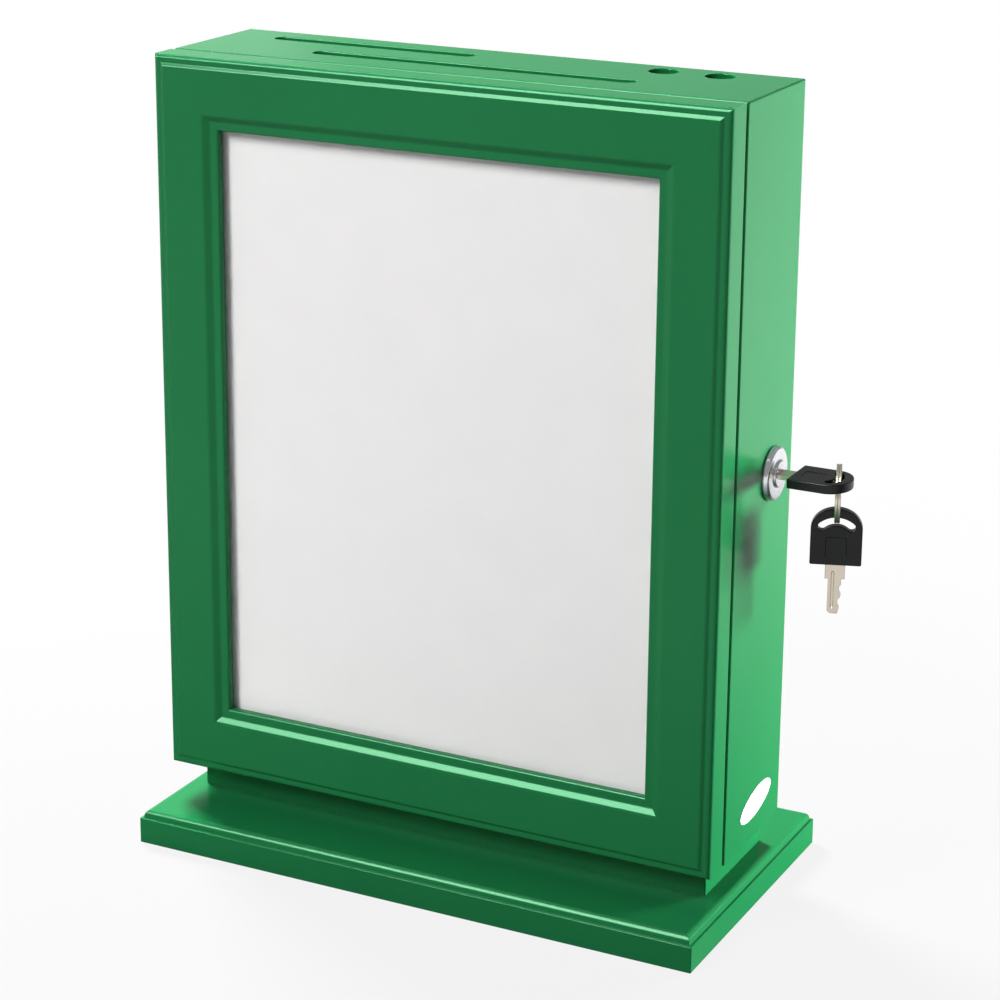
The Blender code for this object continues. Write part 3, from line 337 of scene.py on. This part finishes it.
def plated(name, tone, roughness, scratch, distance):
    """Plated or polished metal: fine scratches in its gloss, and a faint unevenness of its tone."""
    look = material(name)
    place = look.place()
    lines = look.noise(look.stretched(place, (300, 2600, 2600)), scale=1, detail=4, roughness=0.6)
    cloud = look.noise(place, scale=160, detail=3)
    darker = (*(value * 0.86 for value in tone[:3]), 1.0)
    metal = look.node("BsdfPrincipled", sockets={
        "Base Color": look.blend(cloud * 0.6 + lines * 0.4, darker, tone),
        "Metallic": 1.0,
        "Roughness": roughness + lines * scratch + cloud * (scratch * 0.5),
        "Normal": look.bumped(lines, strength=0.15, distance=distance),
    })
    return look.end(metal)


def moulded_black():
    """Moulded black plastic with a fine spark-eroded grain."""
    look = material("black_plastic")
    place = look.place()
    grain = look.noise(place, scale=4200, detail=2, roughness=0.6)
    rub = look.noise(place, scale=240, detail=4)
    plastic = look.node("BsdfPrincipled", sockets={
        "Base Color": look.blend(rub, shade(13, 13, 16), shade(20, 20, 24)),
        "Roughness": 0.24 + grain * 0.12 + rub * 0.06,
        "Specular IOR Level": 0.35,
        "Normal": look.bumped(grain, strength=0.25, distance=0.02 * MM),
    })
    return look.end(plastic)


LOOKS = {
    "green_paint": satin_green(),
    "bare_board": hardboard(),
    "paper": plain_paper(),
    "clear_plastic": clear_sheet(),
    "zinc_steel": plated("zinc_steel", shade(205, 207, 208), 0.28, scratch=0.16, distance=0.01 * MM),
    "chrome": plated("chrome", shade(240, 241, 246), 0.12, scratch=0.08, distance=0.004 * MM),
    "nickel": plated("nickel", shade(242, 229, 213), 0.22, scratch=0.14, distance=0.008 * MM),
    "black_plastic": moulded_black(),
}


# Cabinet

ARRIS = 1.0 * MM
TOP_EDGE = 0.8 * MM
RIM = 0.5 * MM
TINY = 0.02 * MM
EDGE_STEPS = 4
TOP_LOW, TOP_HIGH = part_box("top_board")
BOTTOM_LOW, BOTTOM_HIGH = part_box("bottom_board")
INSIDE_TOP, INSIDE_BOTTOM = TOP_LOW.z, BOTTOM_HIGH.z
BACK_LOW, BACK_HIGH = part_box("back_board")
RABBET_CLEARANCE = 0.3 * MM
RABBET_HALF_WIDTH = BACK_HIGH.x + RABBET_CLEARANCE
RABBET_Y = BACK_LOW.y - RABBET_CLEARANCE
RABBET_START = 6 * MM
SLOT_HALF_WIDTH = 3.9 * MM
PEN_HOLE_RADIUS = 6.6 * MM
# each opening's middle, the half length between its end circles, and their radius
OPENINGS = [
    ((0, -10.7 * MM), 73.8 * MM, SLOT_HALF_WIDTH),
    ((-62.0 * MM, 15.3 * MM), 46.8 * MM, SLOT_HALF_WIDTH),
    ((103.3 * MM, 19.2 * MM), TINY, PEN_HOLE_RADIUS),
    ((77.3 * MM, 19.2 * MM), TINY, PEN_HOLE_RADIUS),
]


def edge_rows(edge, support=SUPPORT):
    """Insets and drops along an eased edge, from the flat face to the wall. They are edge times (1 - sin t)
    and (1 - cos t), with a support row beyond each end."""
    t = np.linspace(0, QUARTER, EDGE_STEPS + 1)
    insets = [edge + support, *(edge * (1 - np.sin(t))), 0]
    return insets, [0, *(edge * (1 - np.cos(t))), edge + support]


def board_outline(low, high, by, corner=ARRIS):
    """A board's outline drawn in by a distance, its corners eased by what is left of their radius."""
    shape = rectangle((low.x + by, low.y + by), (high.x - by, high.y - by))
    return soften(shape, [max(corner - by, TINY)] * 4)


def rabbeted(outline, edge_y, depth_y):
    """The outline with four points let into its back side, which stand back to the rabbet's depth."""
    stop = RABBET_HALF_WIDTH
    notch = [(stop, edge_y), (stop, depth_y), (-stop, depth_y), (-stop, edge_y)]
    at = len(outline) * 3 // 4
    return np.concatenate([outline[:at], notch, outline[at:]])


def carcass_board(name, outer, inner, openings, edge):
    """A top or bottom board: a rectangle carried from its outer face over an eased edge to its inner face,
    where the rabbet for the back board is let in, with the openings carried through."""
    low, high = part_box(name)
    way = math.copysign(1, inner - outer)
    insets, drops = edge_rows(edge)
    rows = [rabbeted(board_outline(low, high, by), high.y - by, high.y - by) for by in insets]
    heights = [outer + way * drop for drop in drops]
    notched = rabbeted(board_outline(low, high, 0), high.y, RABBET_Y)
    rabbet = outer + way * RABBET_START
    shell = Shell()
    shell.walls([*rows, rows[-1], notched, notched], [*heights, rabbet, rabbet, inner])
    rims, rim_drops = edge_rows(RIM)
    holes = []
    for centre, half_length, radius in openings:
        cut = [stadium(centre, half_length, radius + by) for by in rims]
        shell.walls([*cut, cut[-1]], [*(outer + way * drop for drop in rim_drops), inner])
        holes.append((cut[0], cut[-1]))
    shell.lid([rows[0], *(hole[0] for hole in holes)], outer)
    shell.lid([notched, *(hole[1] for hole in holes)], inner)
    piece(name.replace("board", "panel"), shell, "green_paint", "cabinet", [name])


def side_board(name, side):
    """A side board: its level section, with eased arrises and the rabbet, carried from board to board."""
    low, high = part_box(name)
    outside, inside = (high.x, low.x) if side > 0 else (-low.x, -high.x)
    section = np.array([
        (inside, low.y), (outside, low.y), (outside, high.y),
        (RABBET_HALF_WIDTH, high.y), (RABBET_HALF_WIDTH, RABBET_Y), (inside, RABBET_Y),
    ])
    outline = soften(section, [RIM, ARRIS, ARRIS, TINY, TINY, TINY])
    shell = Shell()
    shell.walls([outline, outline], [INSIDE_BOTTOM, INSIDE_TOP])
    shell.lid([outline], INSIDE_BOTTOM)
    shell.lid([outline], INSIDE_TOP)
    place = Matrix.Diagonal((side, 1, 1, 1))
    piece(name.replace("board", "panel"), shell, "green_paint", "cabinet", [name], place)


carcass_board("top_board", TOP_HIGH.z, INSIDE_TOP, OPENINGS, TOP_EDGE)
carcass_board("bottom_board", BOTTOM_LOW.z, INSIDE_BOTTOM, [], RIM)
side_board("left_side_board", -1)
side_board("right_side_board", 1)


# Base and plinth

BASE_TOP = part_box("base_board")[1].z
BASE_FOOT = 0.4 * MM
BASE_LIP = 0.3 * MM
BASE_LEDGE = 1.2 * MM
BASE_LEDGE_SUPPORT = 0.6 * MM
BASE_LEDGE_HEIGHT = 12.2 * MM
COVE_TOP = (1.6 * MM, 13.0 * MM)
COVE_RISE = 0.8 * MM
ROUND_RUN = 3.0 * MM
SMALL_STEPS = 3
ROUND_STEPS = 8


def moulded_block(name, node, profile, corner):
    """A block whose outline is drawn in as it rises: profile gives an inset and a height for each row."""
    low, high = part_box(node)
    rows = [board_outline(low, high, by, corner) for by, _ in profile]
    shell = Shell()
    shell.walls(rows, [height for _, height in profile])
    shell.lid([rows[0]], profile[0][1])
    shell.lid([rows[-1]], profile[-1][1])
    piece(name, shell, "green_paint", "cabinet", [node])


def base_profile():
    """The base's edge from its underside up, as insets and heights: an eased foot, a square edge, a ledge, a
    small cove and a round-over, each curve a quarter of an ellipse."""
    foot = arc((BASE_FOOT, BASE_FOOT), BASE_FOOT, 3 * QUARTER, 2 * QUARTER, SMALL_STEPS)
    lip = arc((BASE_LIP, BASE_LEDGE_HEIGHT - BASE_LIP), BASE_LIP, 2 * QUARTER, QUARTER, SMALL_STEPS)
    inner, middle = COVE_TOP
    cove = arc((BASE_LEDGE, middle), (inner - BASE_LEDGE, COVE_RISE), -QUARTER, 0, SMALL_STEPS)
    over = arc((inner + ROUND_RUN, middle), (ROUND_RUN, BASE_TOP - middle), 2 * QUARTER, QUARTER, ROUND_STEPS)
    return [
        (BASE_FOOT + SUPPORT, 0), *foot, (0, BASE_FOOT + SUPPORT), (0, lip[0][1] - SUPPORT), *lip,
        (BASE_LEDGE_SUPPORT, BASE_LEDGE_HEIGHT), *cove, *over, (over[-1][0] + SUPPORT, BASE_TOP),
    ]


moulded_block("moulded_base", "base_board", base_profile(), corner=0.5 * MM)
moulded_block("plinth", "plinth_block", [(0, BASE_TOP), (0, BOTTOM_LOW.z)], corner=0.7 * MM)


# Door

# each corner of the section in millimetres, across the member and back from its face, and its easing
DOOR_SECTION = [
    ((0, 15.5), 0.5),
    ((0, 1.0), (2.3, 2.0)),
    ((3.6, 1.0), 0.25),
    ((5.0, 0), 0.5),
    ((24.8, 0), 0.8),
    ((27.8, 2.0), 0.5),
    ((31.8, 2.0), 1.3),
    ((31.8, 5.8), 0.15),
    ((26.8, 5.8), 0.1),
    ((26.8, 15.5), 0.15),
]
DOOR_SUPPORT = 0.25 * MM
DOOR_LOW, DOOR_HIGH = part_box("door_left_stile")
DOOR_MIDDLE = (DOOR_LOW.z + DOOR_HIGH.z) / 2
DOOR_EDGE = TOP_HIGH.x
DOOR_HEIGHT = TOP_HIGH.z - BOTTOM_LOW.z
FACE = DOOR_LOW.y
RIGHT, BACK, UP = (1, 0, 0), (0, 1, 0), (0, 0, 1)
LEFT, DOWN = (-1, 0, 0), (0, 0, -1)


def door_member(node, length, inwards, along, at):
    """One mitred member: the moulding's section carried along it between two ends that slant in with it."""
    corners = np.array([point for point, _ in DOOR_SECTION]) * MM
    outline = soften(corners, [np.array(radius) * MM for _, radius in DOOR_SECTION], DOOR_SUPPORT)

    def far_end(flat):
        return length / 2 - flat[:, 0]

    def near_end(flat):
        return -far_end(flat)

    shell = Shell()
    shell.band([lift(outline, near_end(outline)), lift(outline, far_end(outline))])
    shell.lid([outline], far_end)
    shell.lid([outline], near_end)
    name = node.replace("stile", "moulding").replace("rail", "moulding")
    piece(name, shell, "green_paint", "door", [node], basis(inwards, BACK, along, at))


door_member("door_left_stile", DOOR_HEIGHT, RIGHT, UP, (-DOOR_EDGE, FACE, DOOR_MIDDLE))
door_member("door_right_stile", DOOR_HEIGHT, LEFT, UP, (DOOR_EDGE, FACE, DOOR_MIDDLE))
door_member("door_top_rail", 2 * DOOR_EDGE, DOWN, RIGHT, (0, FACE, TOP_HIGH.z))
door_member("door_bottom_rail", 2 * DOOR_EDGE, UP, RIGHT, (0, FACE, BOTTOM_LOW.z))


# Lock

TURN_STEPS = 64
SIDE = (BACK, UP, RIGHT)
PLUG_LOW, PLUG_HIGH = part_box("lock_plug")
LOCK = Vector((TOP_HIGH.x, (PLUG_LOW.y + PLUG_HIGH.y) / 2, DOOR_MIDDLE))
BORE = 5.9 * MM
BARREL_RADIUS = 9.3 * MM
BARREL_FLAT = 8.0 * MM
BARREL_END = -19.5 * MM
# the flange in millimetres, as distances from the bore or the axis and heights: its lip, and its side
FLANGE_LIP = [(0, 2.5), (0.15, 2.75), (0.4, 2.9), (0.9, 2.9)]
FLANGE_SIDE = [(12.15, 1.1), (12.2, 0.9), (12.2, 0.2), (12.05, 0), (11.6, 0)]
FLANGE_FACE_END = (9.6 * MM, 2.85 * MM)
DOME_CENTRE = (10.3 * MM, 1.3 * MM)
DOME_RADII = (1.7 * MM, 1.5 * MM)
DOME_STEPS = 10
PLUG_FACE = 3.8 * MM
PLUG_RIM = 0.5 * MM
PLUG_RADIUS = 5.8 * MM
KEYWAY_HALF = (3.1 * MM, 1.2 * MM)
KEYWAY_CORNER = 0.3 * MM
KEYWAY_BEVEL = 0.15 * MM
KEYWAY_DEPTH = 16.1 * MM
TANG_HALF = 3.2 * MM
TANG_CORNER = 4.2 * MM
TANG_ROOT = BARREL_END + 1 * MM
TANG_END = -21.7 * MM


def turned(shell, profile, loop=False):
    """A profile of radii and heights carried round Z. A radius may change with the angle, as a function."""
    t = np.linspace(0, 2 * math.pi, TURN_STEPS, endpoint=False)
    rows = []
    for radius, height in profile:
        reach = radius(t) if callable(radius) else np.full(TURN_STEPS, radius)
        rows.append(np.stack([reach * np.cos(t), reach * np.sin(t), np.full(TURN_STEPS, height)], -1))
    shell.band(rows, loop=loop)


def flatted(radius, flat):
    """The radius at each angle of a circle with two flats, a distance either side of the axis along X."""
    return lambda t: np.minimum(radius, flat / np.maximum(np.abs(np.cos(t)), 1e-6))


def squared(half, corner):
    """The radius at each angle of a square, cut off at its corners."""
    return lambda t: np.minimum(half / np.maximum(np.abs(np.cos(t)), np.abs(np.sin(t))), corner)


def lock_flange():
    """The lock's round flange and flatted barrel: a profile turned round the bore. It runs from the bore's
    lip over the face and a dome, a quarter of an ellipse, then down the side and along the barrel."""
    lip = [(BORE + out * MM, up * MM) for out, up in FLANGE_LIP]
    dome = arc(DOME_CENTRE, DOME_RADII, QUARTER, 0, DOME_STEPS)
    side = [(out * MM, up * MM) for out, up in FLANGE_SIDE]
    barrel = flatted(BARREL_RADIUS, BARREL_FLAT)
    tube = [(barrel, 0), (barrel, BARREL_END), (BORE, BARREL_END)]
    shell = Shell()
    turned(shell, [*lip, FLANGE_FACE_END, *dome, *side, *tube], loop=True)
    piece("lock_case", shell, "chrome", "cabinet", ["lock_housing"], basis(*SIDE, LOCK))


def lock_cylinder():
    """The plug: a round face with an eased rim, a keyway let into it, and the square tang for the cam."""
    insets, drops = edge_rows(PLUG_RIM)
    circles = [ellipse(PLUG_RADIUS - by, TURN_STEPS) for by in insets]
    half_height, half_width = KEYWAY_HALF
    slot = rectangle((-half_height, -half_width), (half_height, half_width))
    keyway = soften(slot, [KEYWAY_CORNER] * 4, support=0.1 * MM)
    mouth = inset(keyway, -KEYWAY_BEVEL)
    floor = PLUG_FACE - KEYWAY_DEPTH
    shell = Shell()
    shell.walls([*circles, circles[-1]], [*(PLUG_FACE - drop for drop in drops), BARREL_END])
    shell.walls([mouth, keyway, keyway], [PLUG_FACE, PLUG_FACE - KEYWAY_BEVEL, floor])
    shell.lid([circles[0], mouth], PLUG_FACE)
    shell.lid([keyway], floor)
    shell.lid([circles[-1]], BARREL_END)
    tang = squared(TANG_HALF, TANG_CORNER)
    turned(shell, [(0, TANG_ROOT), (tang, TANG_ROOT), (tang, TANG_END), (0, TANG_END)])
    piece("lock_cylinder", shell, "chrome", "lock_plug", ["lock_plug"], basis(*SIDE, LOCK))


lock_flange()
lock_cylinder()


# Keys

# the bow, whose flat end lies at 0 and whose arch bulges along X
BOW_HALF = 11.2 * MM
BOW_THICKNESS = 4.2 * MM
BOW_EDGE = 0.45 * MM
BOW_CORNER = 0.8 * MM
BOW_SIDE = 15 * MM
ARCH_START = 16.2 * MM
ARCH_RISE = 9.5 * MM
ARCH_STEPS = 28
SQUARE = rectangle((3.6 * MM, -4.6 * MM), (12.8 * MM, 4.6 * MM))
SQUARE_DEPTH = 0.3 * MM
CRESCENT_CENTRE = 9.95 * MM
CRESCENT_RADIUS = 9.8 * MM
CRESCENT_HALF = 1.85 * MM
CRESCENT_TURN = math.radians(40)
CRESCENT_STEPS = 14
CRESCENT_END_STEPS = 8
# the blade: places along it and half widths in millimetres, and its cuts as shares of the bit
BLADE_INSIDE, BLADE_ROOT, BIT_START, TIP_BEVEL, TIP = 9, -0.2, -6.6, -21.3, -22.5
TANG, SHOULDER, BIT, POINT = 3.5, 4.35, 2.9, 1.7
CUTS = [
    (0.16, 1), (0.22, 0.72), (0.34, 0.72), (0.42, 1),
    (0.52, 0.92), (0.60, 0.55), (0.72, 0.55), (0.80, 0.80),
]
BLADE_THICKNESS = 2.0 * MM
BLADE_EDGE = 0.15 * MM
BLADE_CORNER = 0.12 * MM
GROOVE = stadium((-11.4 * MM, -0.9 * MM), half_length=7.6 * MM, radius=0.75 * MM, steps=6)
GROOVE_DEPTH = 0.4 * MM


def plate(outline, thickness, edge, holes=(), sinks=()):
    """A flat plate about the XY plane. Every outline is carried over an eased edge to each face; a sink is an
    outline whose floor lies a depth below each face, with a sloping wall."""
    half = thickness / 2
    insets, drops = edge_rows(edge, support=0.15 * MM)
    loops = {1: [], -1: []}
    shell = Shell()
    for line in (outline, *holes):
        rows = [inset(line, by) for by in insets]
        heights = [half - drop for drop in drops]
        shell.walls([*rows, *rows[::-1]], [*heights, *(-h for h in heights[::-1])])
        for way in loops:
            loops[way].append(rows[0])
    for line, depth in sinks:
        floor = inset(line, depth)
        for way in loops:
            shell.walls([line, floor], [way * half, way * (half - depth)])
            shell.lid([floor], way * (half - depth))
            loops[way].append(line)
    for way, lines in loops.items():
        shell.lid(lines, way * half)
    return shell


def crescent():
    """The bow's slot: a band round an arc, closed by half circles, clockwise because it is a hole."""
    centre = (CRESCENT_CENTRE, 0)
    turn = CRESCENT_TURN
    outer = arc(centre, CRESCENT_RADIUS + CRESCENT_HALF, -turn, turn, CRESCENT_STEPS)
    inner = arc(centre, CRESCENT_RADIUS - CRESCENT_HALF, turn, -turn, CRESCENT_STEPS)
    ends = []
    for at, start in ((turn, turn), (-turn, math.pi - turn)):
        middle = (CRESCENT_CENTRE + CRESCENT_RADIUS * math.cos(at), CRESCENT_RADIUS * math.sin(at))
        ends.append(arc(middle, CRESCENT_HALF, start, start + math.pi, CRESCENT_END_STEPS)[1:-1])
    return np.concatenate([outer, ends[0], inner, ends[1]])[::-1]


def bow_outline():
    """The bow's outline: a flat end with two eased corners, straight sides and an arch of half an ellipse."""
    corners = [(0, BOW_HALF), (0, -BOW_HALF), (BOW_SIDE, -BOW_HALF), (BOW_SIDE, BOW_HALF)]
    flat_end = soften(corners, [BOW_CORNER] * 4, support=0.3 * MM)
    arch = arc((ARCH_START, 0), (ARCH_RISE, BOW_HALF), -QUARTER, QUARTER, ARCH_STEPS)
    return np.concatenate([flat_end[:len(flat_end) // 2], arch])


def blade_outline():
    """The blade's outline: a tang inside the bow, a shoulder, and a bit with cuts along one side. A cut's
    point lies a share of the bit's length along it, and leaves a share of its half width."""
    length = BIT_START - TIP
    cuts = [(BIT_START - length * along, BIT * out) for along, out in CUTS]
    corners = [
        (BLADE_INSIDE, TANG), (BLADE_ROOT, TANG), (BLADE_ROOT, SHOULDER), (BIT_START, SHOULDER),
        (BIT_START, BIT), *cuts, (TIP, POINT), (TIP, -POINT), (TIP_BEVEL, -BIT), (BIT_START, -BIT),
        (BIT_START, -SHOULDER), (BLADE_ROOT, -SHOULDER), (BLADE_ROOT, -TANG), (BLADE_INSIDE, -TANG),
    ]
    return soften(np.array(corners) * MM, [BLADE_CORNER] * len(corners), support=0.08 * MM, steps=2)


def key(number, place, body):
    """A key: a moulded bow with a crescent slot and a plain sunk square, and a nickel blade with a groove."""
    square = soften(SQUARE, [BOW_CORNER] * 4, support=0.2 * MM)
    bow = plate(bow_outline(), BOW_THICKNESS, BOW_EDGE, [crescent()], [(square, SQUARE_DEPTH)])
    piece(f"key_{number}_grip", bow, "black_plastic", body, [f"key_{number}_bow"], place)
    blade = plate(blade_outline(), BLADE_THICKNESS, BLADE_EDGE, sinks=[(GROOVE, GROOVE_DEPTH)])
    piece(f"key_{number}_shank", blade, "nickel", body, [f"key_{number}_blade"], place)


RING_TILT = math.radians(19)
RING_ALONG = Vector((-math.sin(RING_TILT), math.cos(RING_TILT), 0))
RING_ACROSS = Vector((math.cos(RING_TILT), math.sin(RING_TILT), 0))
RING_LOW, RING_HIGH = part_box("key_ring")
RING_CENTRE = (RING_LOW + RING_HIGH) / 2
RING_RADIUS = 12 * MM
RING_PITCH = 1.25 * MM
RING_STEPS = 190
# degrees round the ring: the wire's two ends, and where its step up starts and how far it goes
RING_START, RING_END = 22, 698
STEP_START, STEP_RUN = 338, 44
WIRE = rectangle((-0.8 * MM, -0.6 * MM), (0.8 * MM, 0.6 * MM))
WIRE_CORNER = 0.3 * MM
KEY_1_OUT = 10.6 * MM
KEY_2_DROP = 32.1 * MM
KEY_1_AT = Vector((LOCK.x + KEY_1_OUT, LOCK.y, LOCK.z))
KEY_2_AT = Vector((RING_CENTRE.x, RING_CENTRE.y, RING_CENTRE.z - KEY_2_DROP))
key(1, Matrix.Translation(KEY_1_AT), "key_1")
key(2, basis(UP, RING_ACROSS, RING_ALONG, KEY_2_AT), "key_2")


def split_ring():
    """The key ring: a flat wire carried twice round a circle. It steps from its lower turn to its upper one
    by 3 s^2 - 2 s^3 of the pitch, where s goes from 0 to 1 along the step."""
    degrees = np.linspace(RING_START, RING_END, RING_STEPS)
    turn = np.radians(degrees)[:, None]
    s = np.clip((degrees - STEP_START) / STEP_RUN, 0, 1)[:, None]
    level = (s * s * (3 - 2 * s) - 0.5) * RING_PITCH
    wire = soften(WIRE, [WIRE_CORNER] * 4, support=0.05 * MM, steps=3)
    reach = RING_RADIUS + wire[None, :, 0]
    rows = np.stack([reach * np.cos(turn), reach * np.sin(turn), level + wire[None, :, 1]], -1)
    shell = Shell()
    shell.band(rows)
    end = np.arange(len(wire))[None]
    shell.add(rows[0], end)
    shell.add(rows[-1], end)
    place = basis(RING_ALONG, UP, RING_ACROSS, RING_CENTRE)
    piece("split_ring", shell, "nickel", "key_ring", ["key_ring"], place, crease=50)


split_ring()


# Label

LABEL_LOW, LABEL_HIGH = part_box("oval_label")
LABEL_THICKNESS = 0.3 * MM
LABEL_AT = (
    LOCK.x + LABEL_THICKNESS / 2,
    (LABEL_LOW.y + LABEL_HIGH.y) / 2,
    (LABEL_LOW.z + LABEL_HIGH.z) / 2,
)
LABEL_TILT = math.radians(8.9)
LABEL_RADII = (17.8 * MM, 6.2 * MM)
LABEL_EDGE = 0.08 * MM
label = plate(ellipse(LABEL_RADII, steps=72), LABEL_THICKNESS, LABEL_EDGE)
label_place = basis(*SIDE, LABEL_AT) @ Matrix.Rotation(LABEL_TILT, 4, "Z")
piece("plain_label", label, "paper", "cabinet", ["oval_label"], label_place)


# Nodes that keep their own shape

dress("green_paint", "back_board")
dress("bare_board", "pocket_floor", "pocket_partition", "door_backing")
dress("paper", "display_sheet")
dress("clear_plastic", "clear_cover")
for height in ("upper", "lower"):
    dress("zinc_steel", *(f"{height}_hinge_{part}" for part in ("cabinet_leaf", "door_leaf", "pin")))
    for leaf in ("cabinet", "door"):
        dress("zinc_steel", *(f"{height}_hinge_{leaf}_screw_{i}" for i in (1, 2)))
for i in range(1, 5):
    dress("zinc_steel", f"turn_button_{i}", f"turn_button_{i}_screw", f"base_screw_{i}")
dress("zinc_steel", "lock_nut", "hook_cam", "cam_screw", "lock_keeper", "strike_pin")
dress("zinc_steel", "keeper_screw_1", "keeper_screw_2")


# Camera, light and floor

CAMERA_AT = Vector((547.43, -1070.66, 568.99)) * MM
CAMERA_PITCH, CAMERA_YAW, CAMERA_ROLL = (math.radians(turn) for turn in (16.3215, 26.6509, 0.4755))
eye = bpy.data.cameras.new("camera")
eye.sensor_width = 36
eye.lens = 100.950
eye.shift_x, eye.shift_y = -0.00012, -0.10199
eye.clip_start, eye.clip_end = 0.05, 50
camera = bpy.data.objects.new("camera", eye)
camera.matrix_world = (
    Matrix.Translation(CAMERA_AT)
    @ Matrix.Rotation(CAMERA_YAW, 4, "Z")
    @ Matrix.Rotation(QUARTER - CAMERA_PITCH, 4, "X")
    @ Matrix.Rotation(CAMERA_ROLL, 4, "Z")
)
bpy.context.scene.collection.objects.link(camera)
bpy.context.scene.camera = camera
bpy.context.scene.view_settings.view_transform = "Standard"

MIDDLE = (0, 0, 0.18)
SIDE_LAMP_AT = (0.666, 0.737, 0.09)
SIDE_LAMP_AIM = (0.137, 0.009, 0.10)
SIDE_LAMP_SIZE = (0.26, 0.16)
AMBIENT = 0.10
GLOSSY_SURROUND = 0.30
FLOOR_REACH = 8
FLOOR_LIFT = 0.86


def lamp(name, at, aim, size, power, lights=True, mirrored=True):
    """A rectangular soft lamp that faces a point. With lights off it is only seen in reflections, and with
    mirrored off it only lights surfaces and isn't seen in them."""
    light = bpy.data.lights.new(name, "AREA")
    light.shape = "RECTANGLE"
    light.size, light.size_y = size
    light.energy = power
    made = bpy.data.objects.new(name, light)
    made.location = at
    made.rotation_euler = (Vector(aim) - Vector(at)).to_track_quat("-Z", "Y").to_euler()
    made.visible_diffuse, made.visible_glossy = lights, mirrored
    bpy.context.scene.collection.objects.link(made)


def surround():
    """White to the camera, also through clear pieces, pale grey to reflections, and a dim ambient light."""
    look = Look(bpy.data.worlds.new("surround"), "ShaderNodeOutputWorld")
    seen, glossy, through = look.rays("Camera", "Glossy", "Transmission")
    direct = look.node("Math", {"operation": "ADD", "use_clamp": True}, {0: seen, 1: through})
    strength = AMBIENT + direct * (1 - AMBIENT) + glossy * (GLOSSY_SURROUND - AMBIENT)
    light = look.node("Background", sockets={"Color": WHITE, "Strength": strength})
    bpy.context.scene.world = look.end(light)


def pale_floor():
    """A matt grey floor that takes the box's shadow. The camera sees it lifted nearly to white, and wholly to
    white further off. Reflections see it glow instead, as a painted reflection: painted shade by the box, and
    a painted glow that grows the further before or behind it."""
    look = material("pale_floor")
    seen, glossy = look.rays("Camera", "Glossy")
    place = look.place()
    away = look.node("VectorMath", {"operation": "LENGTH"}, {0: place}, out="Value")
    far = look.ramp(away, (0.30, 0.75), (0, 1), "SMOOTHSTEP")
    back = look.node("SeparateXYZ", sockets={0: place}, out="Y")
    # painted reflection: how bright the floor glows in reflections, set by its place rather than by the lamps
    behind = look.ramp(back, (0.05, 0.65), (0.05, 1))
    before = look.ramp(back, (-0.4, 0), (0.9, 0))
    matt = look.node("BsdfDiffuse", sockets={"Color": shade(128, 128, 128)})
    # reflections see this painted glow in place of the floor's own lit shade; the camera sees plain white
    tone = look.blend(glossy, WHITE, look.blend(before + behind, BLACK, WHITE))
    white = look.node("Emission", sockets={"Color": tone})
    share = seen * (FLOOR_LIFT + far * (1 - FLOOR_LIFT)) + glossy
    mixed = look.node("MixShader", sockets={0: share, 1: matt, 2: white})
    mesh = bpy.data.meshes.new("floor")
    corners = rectangle((-FLOOR_REACH, -FLOOR_REACH), (FLOOR_REACH, FLOOR_REACH))
    mesh.from_pydata(lift(corners, 0).tolist(), [], [(0, 1, 2, 3)])
    mesh.materials.append(look.end(mixed))
    floor = bpy.data.objects.new("floor", mesh)
    bpy.context.scene.collection.objects.link(floor)


lamp("side_softbox", SIDE_LAMP_AT, SIDE_LAMP_AIM, SIDE_LAMP_SIZE, power=38, mirrored=False)
lamp("side_sheen", SIDE_LAMP_AT, SIDE_LAMP_AIM, SIDE_LAMP_SIZE, power=2.5)
lamp("left_softbox", (-1.00, 0.60, 1.20), MIDDLE, size=(0.5, 0.5), power=98, mirrored=False)
lamp("back_sheen", (-2.05, 1.43, 1.09), MIDDLE, size=(2.2, 1.6), power=3, lights=False)
lamp("front_softbox", (-1.076, -2.106, 2.03), MIDDLE, size=(0.80, 1.30), power=86, mirrored=False)
lamp("front_sheen", (-0.731, -1.432, 2.10), MIDDLE, size=(1.3, 2.2), power=245, lights=False)
surround()
pale_floor()
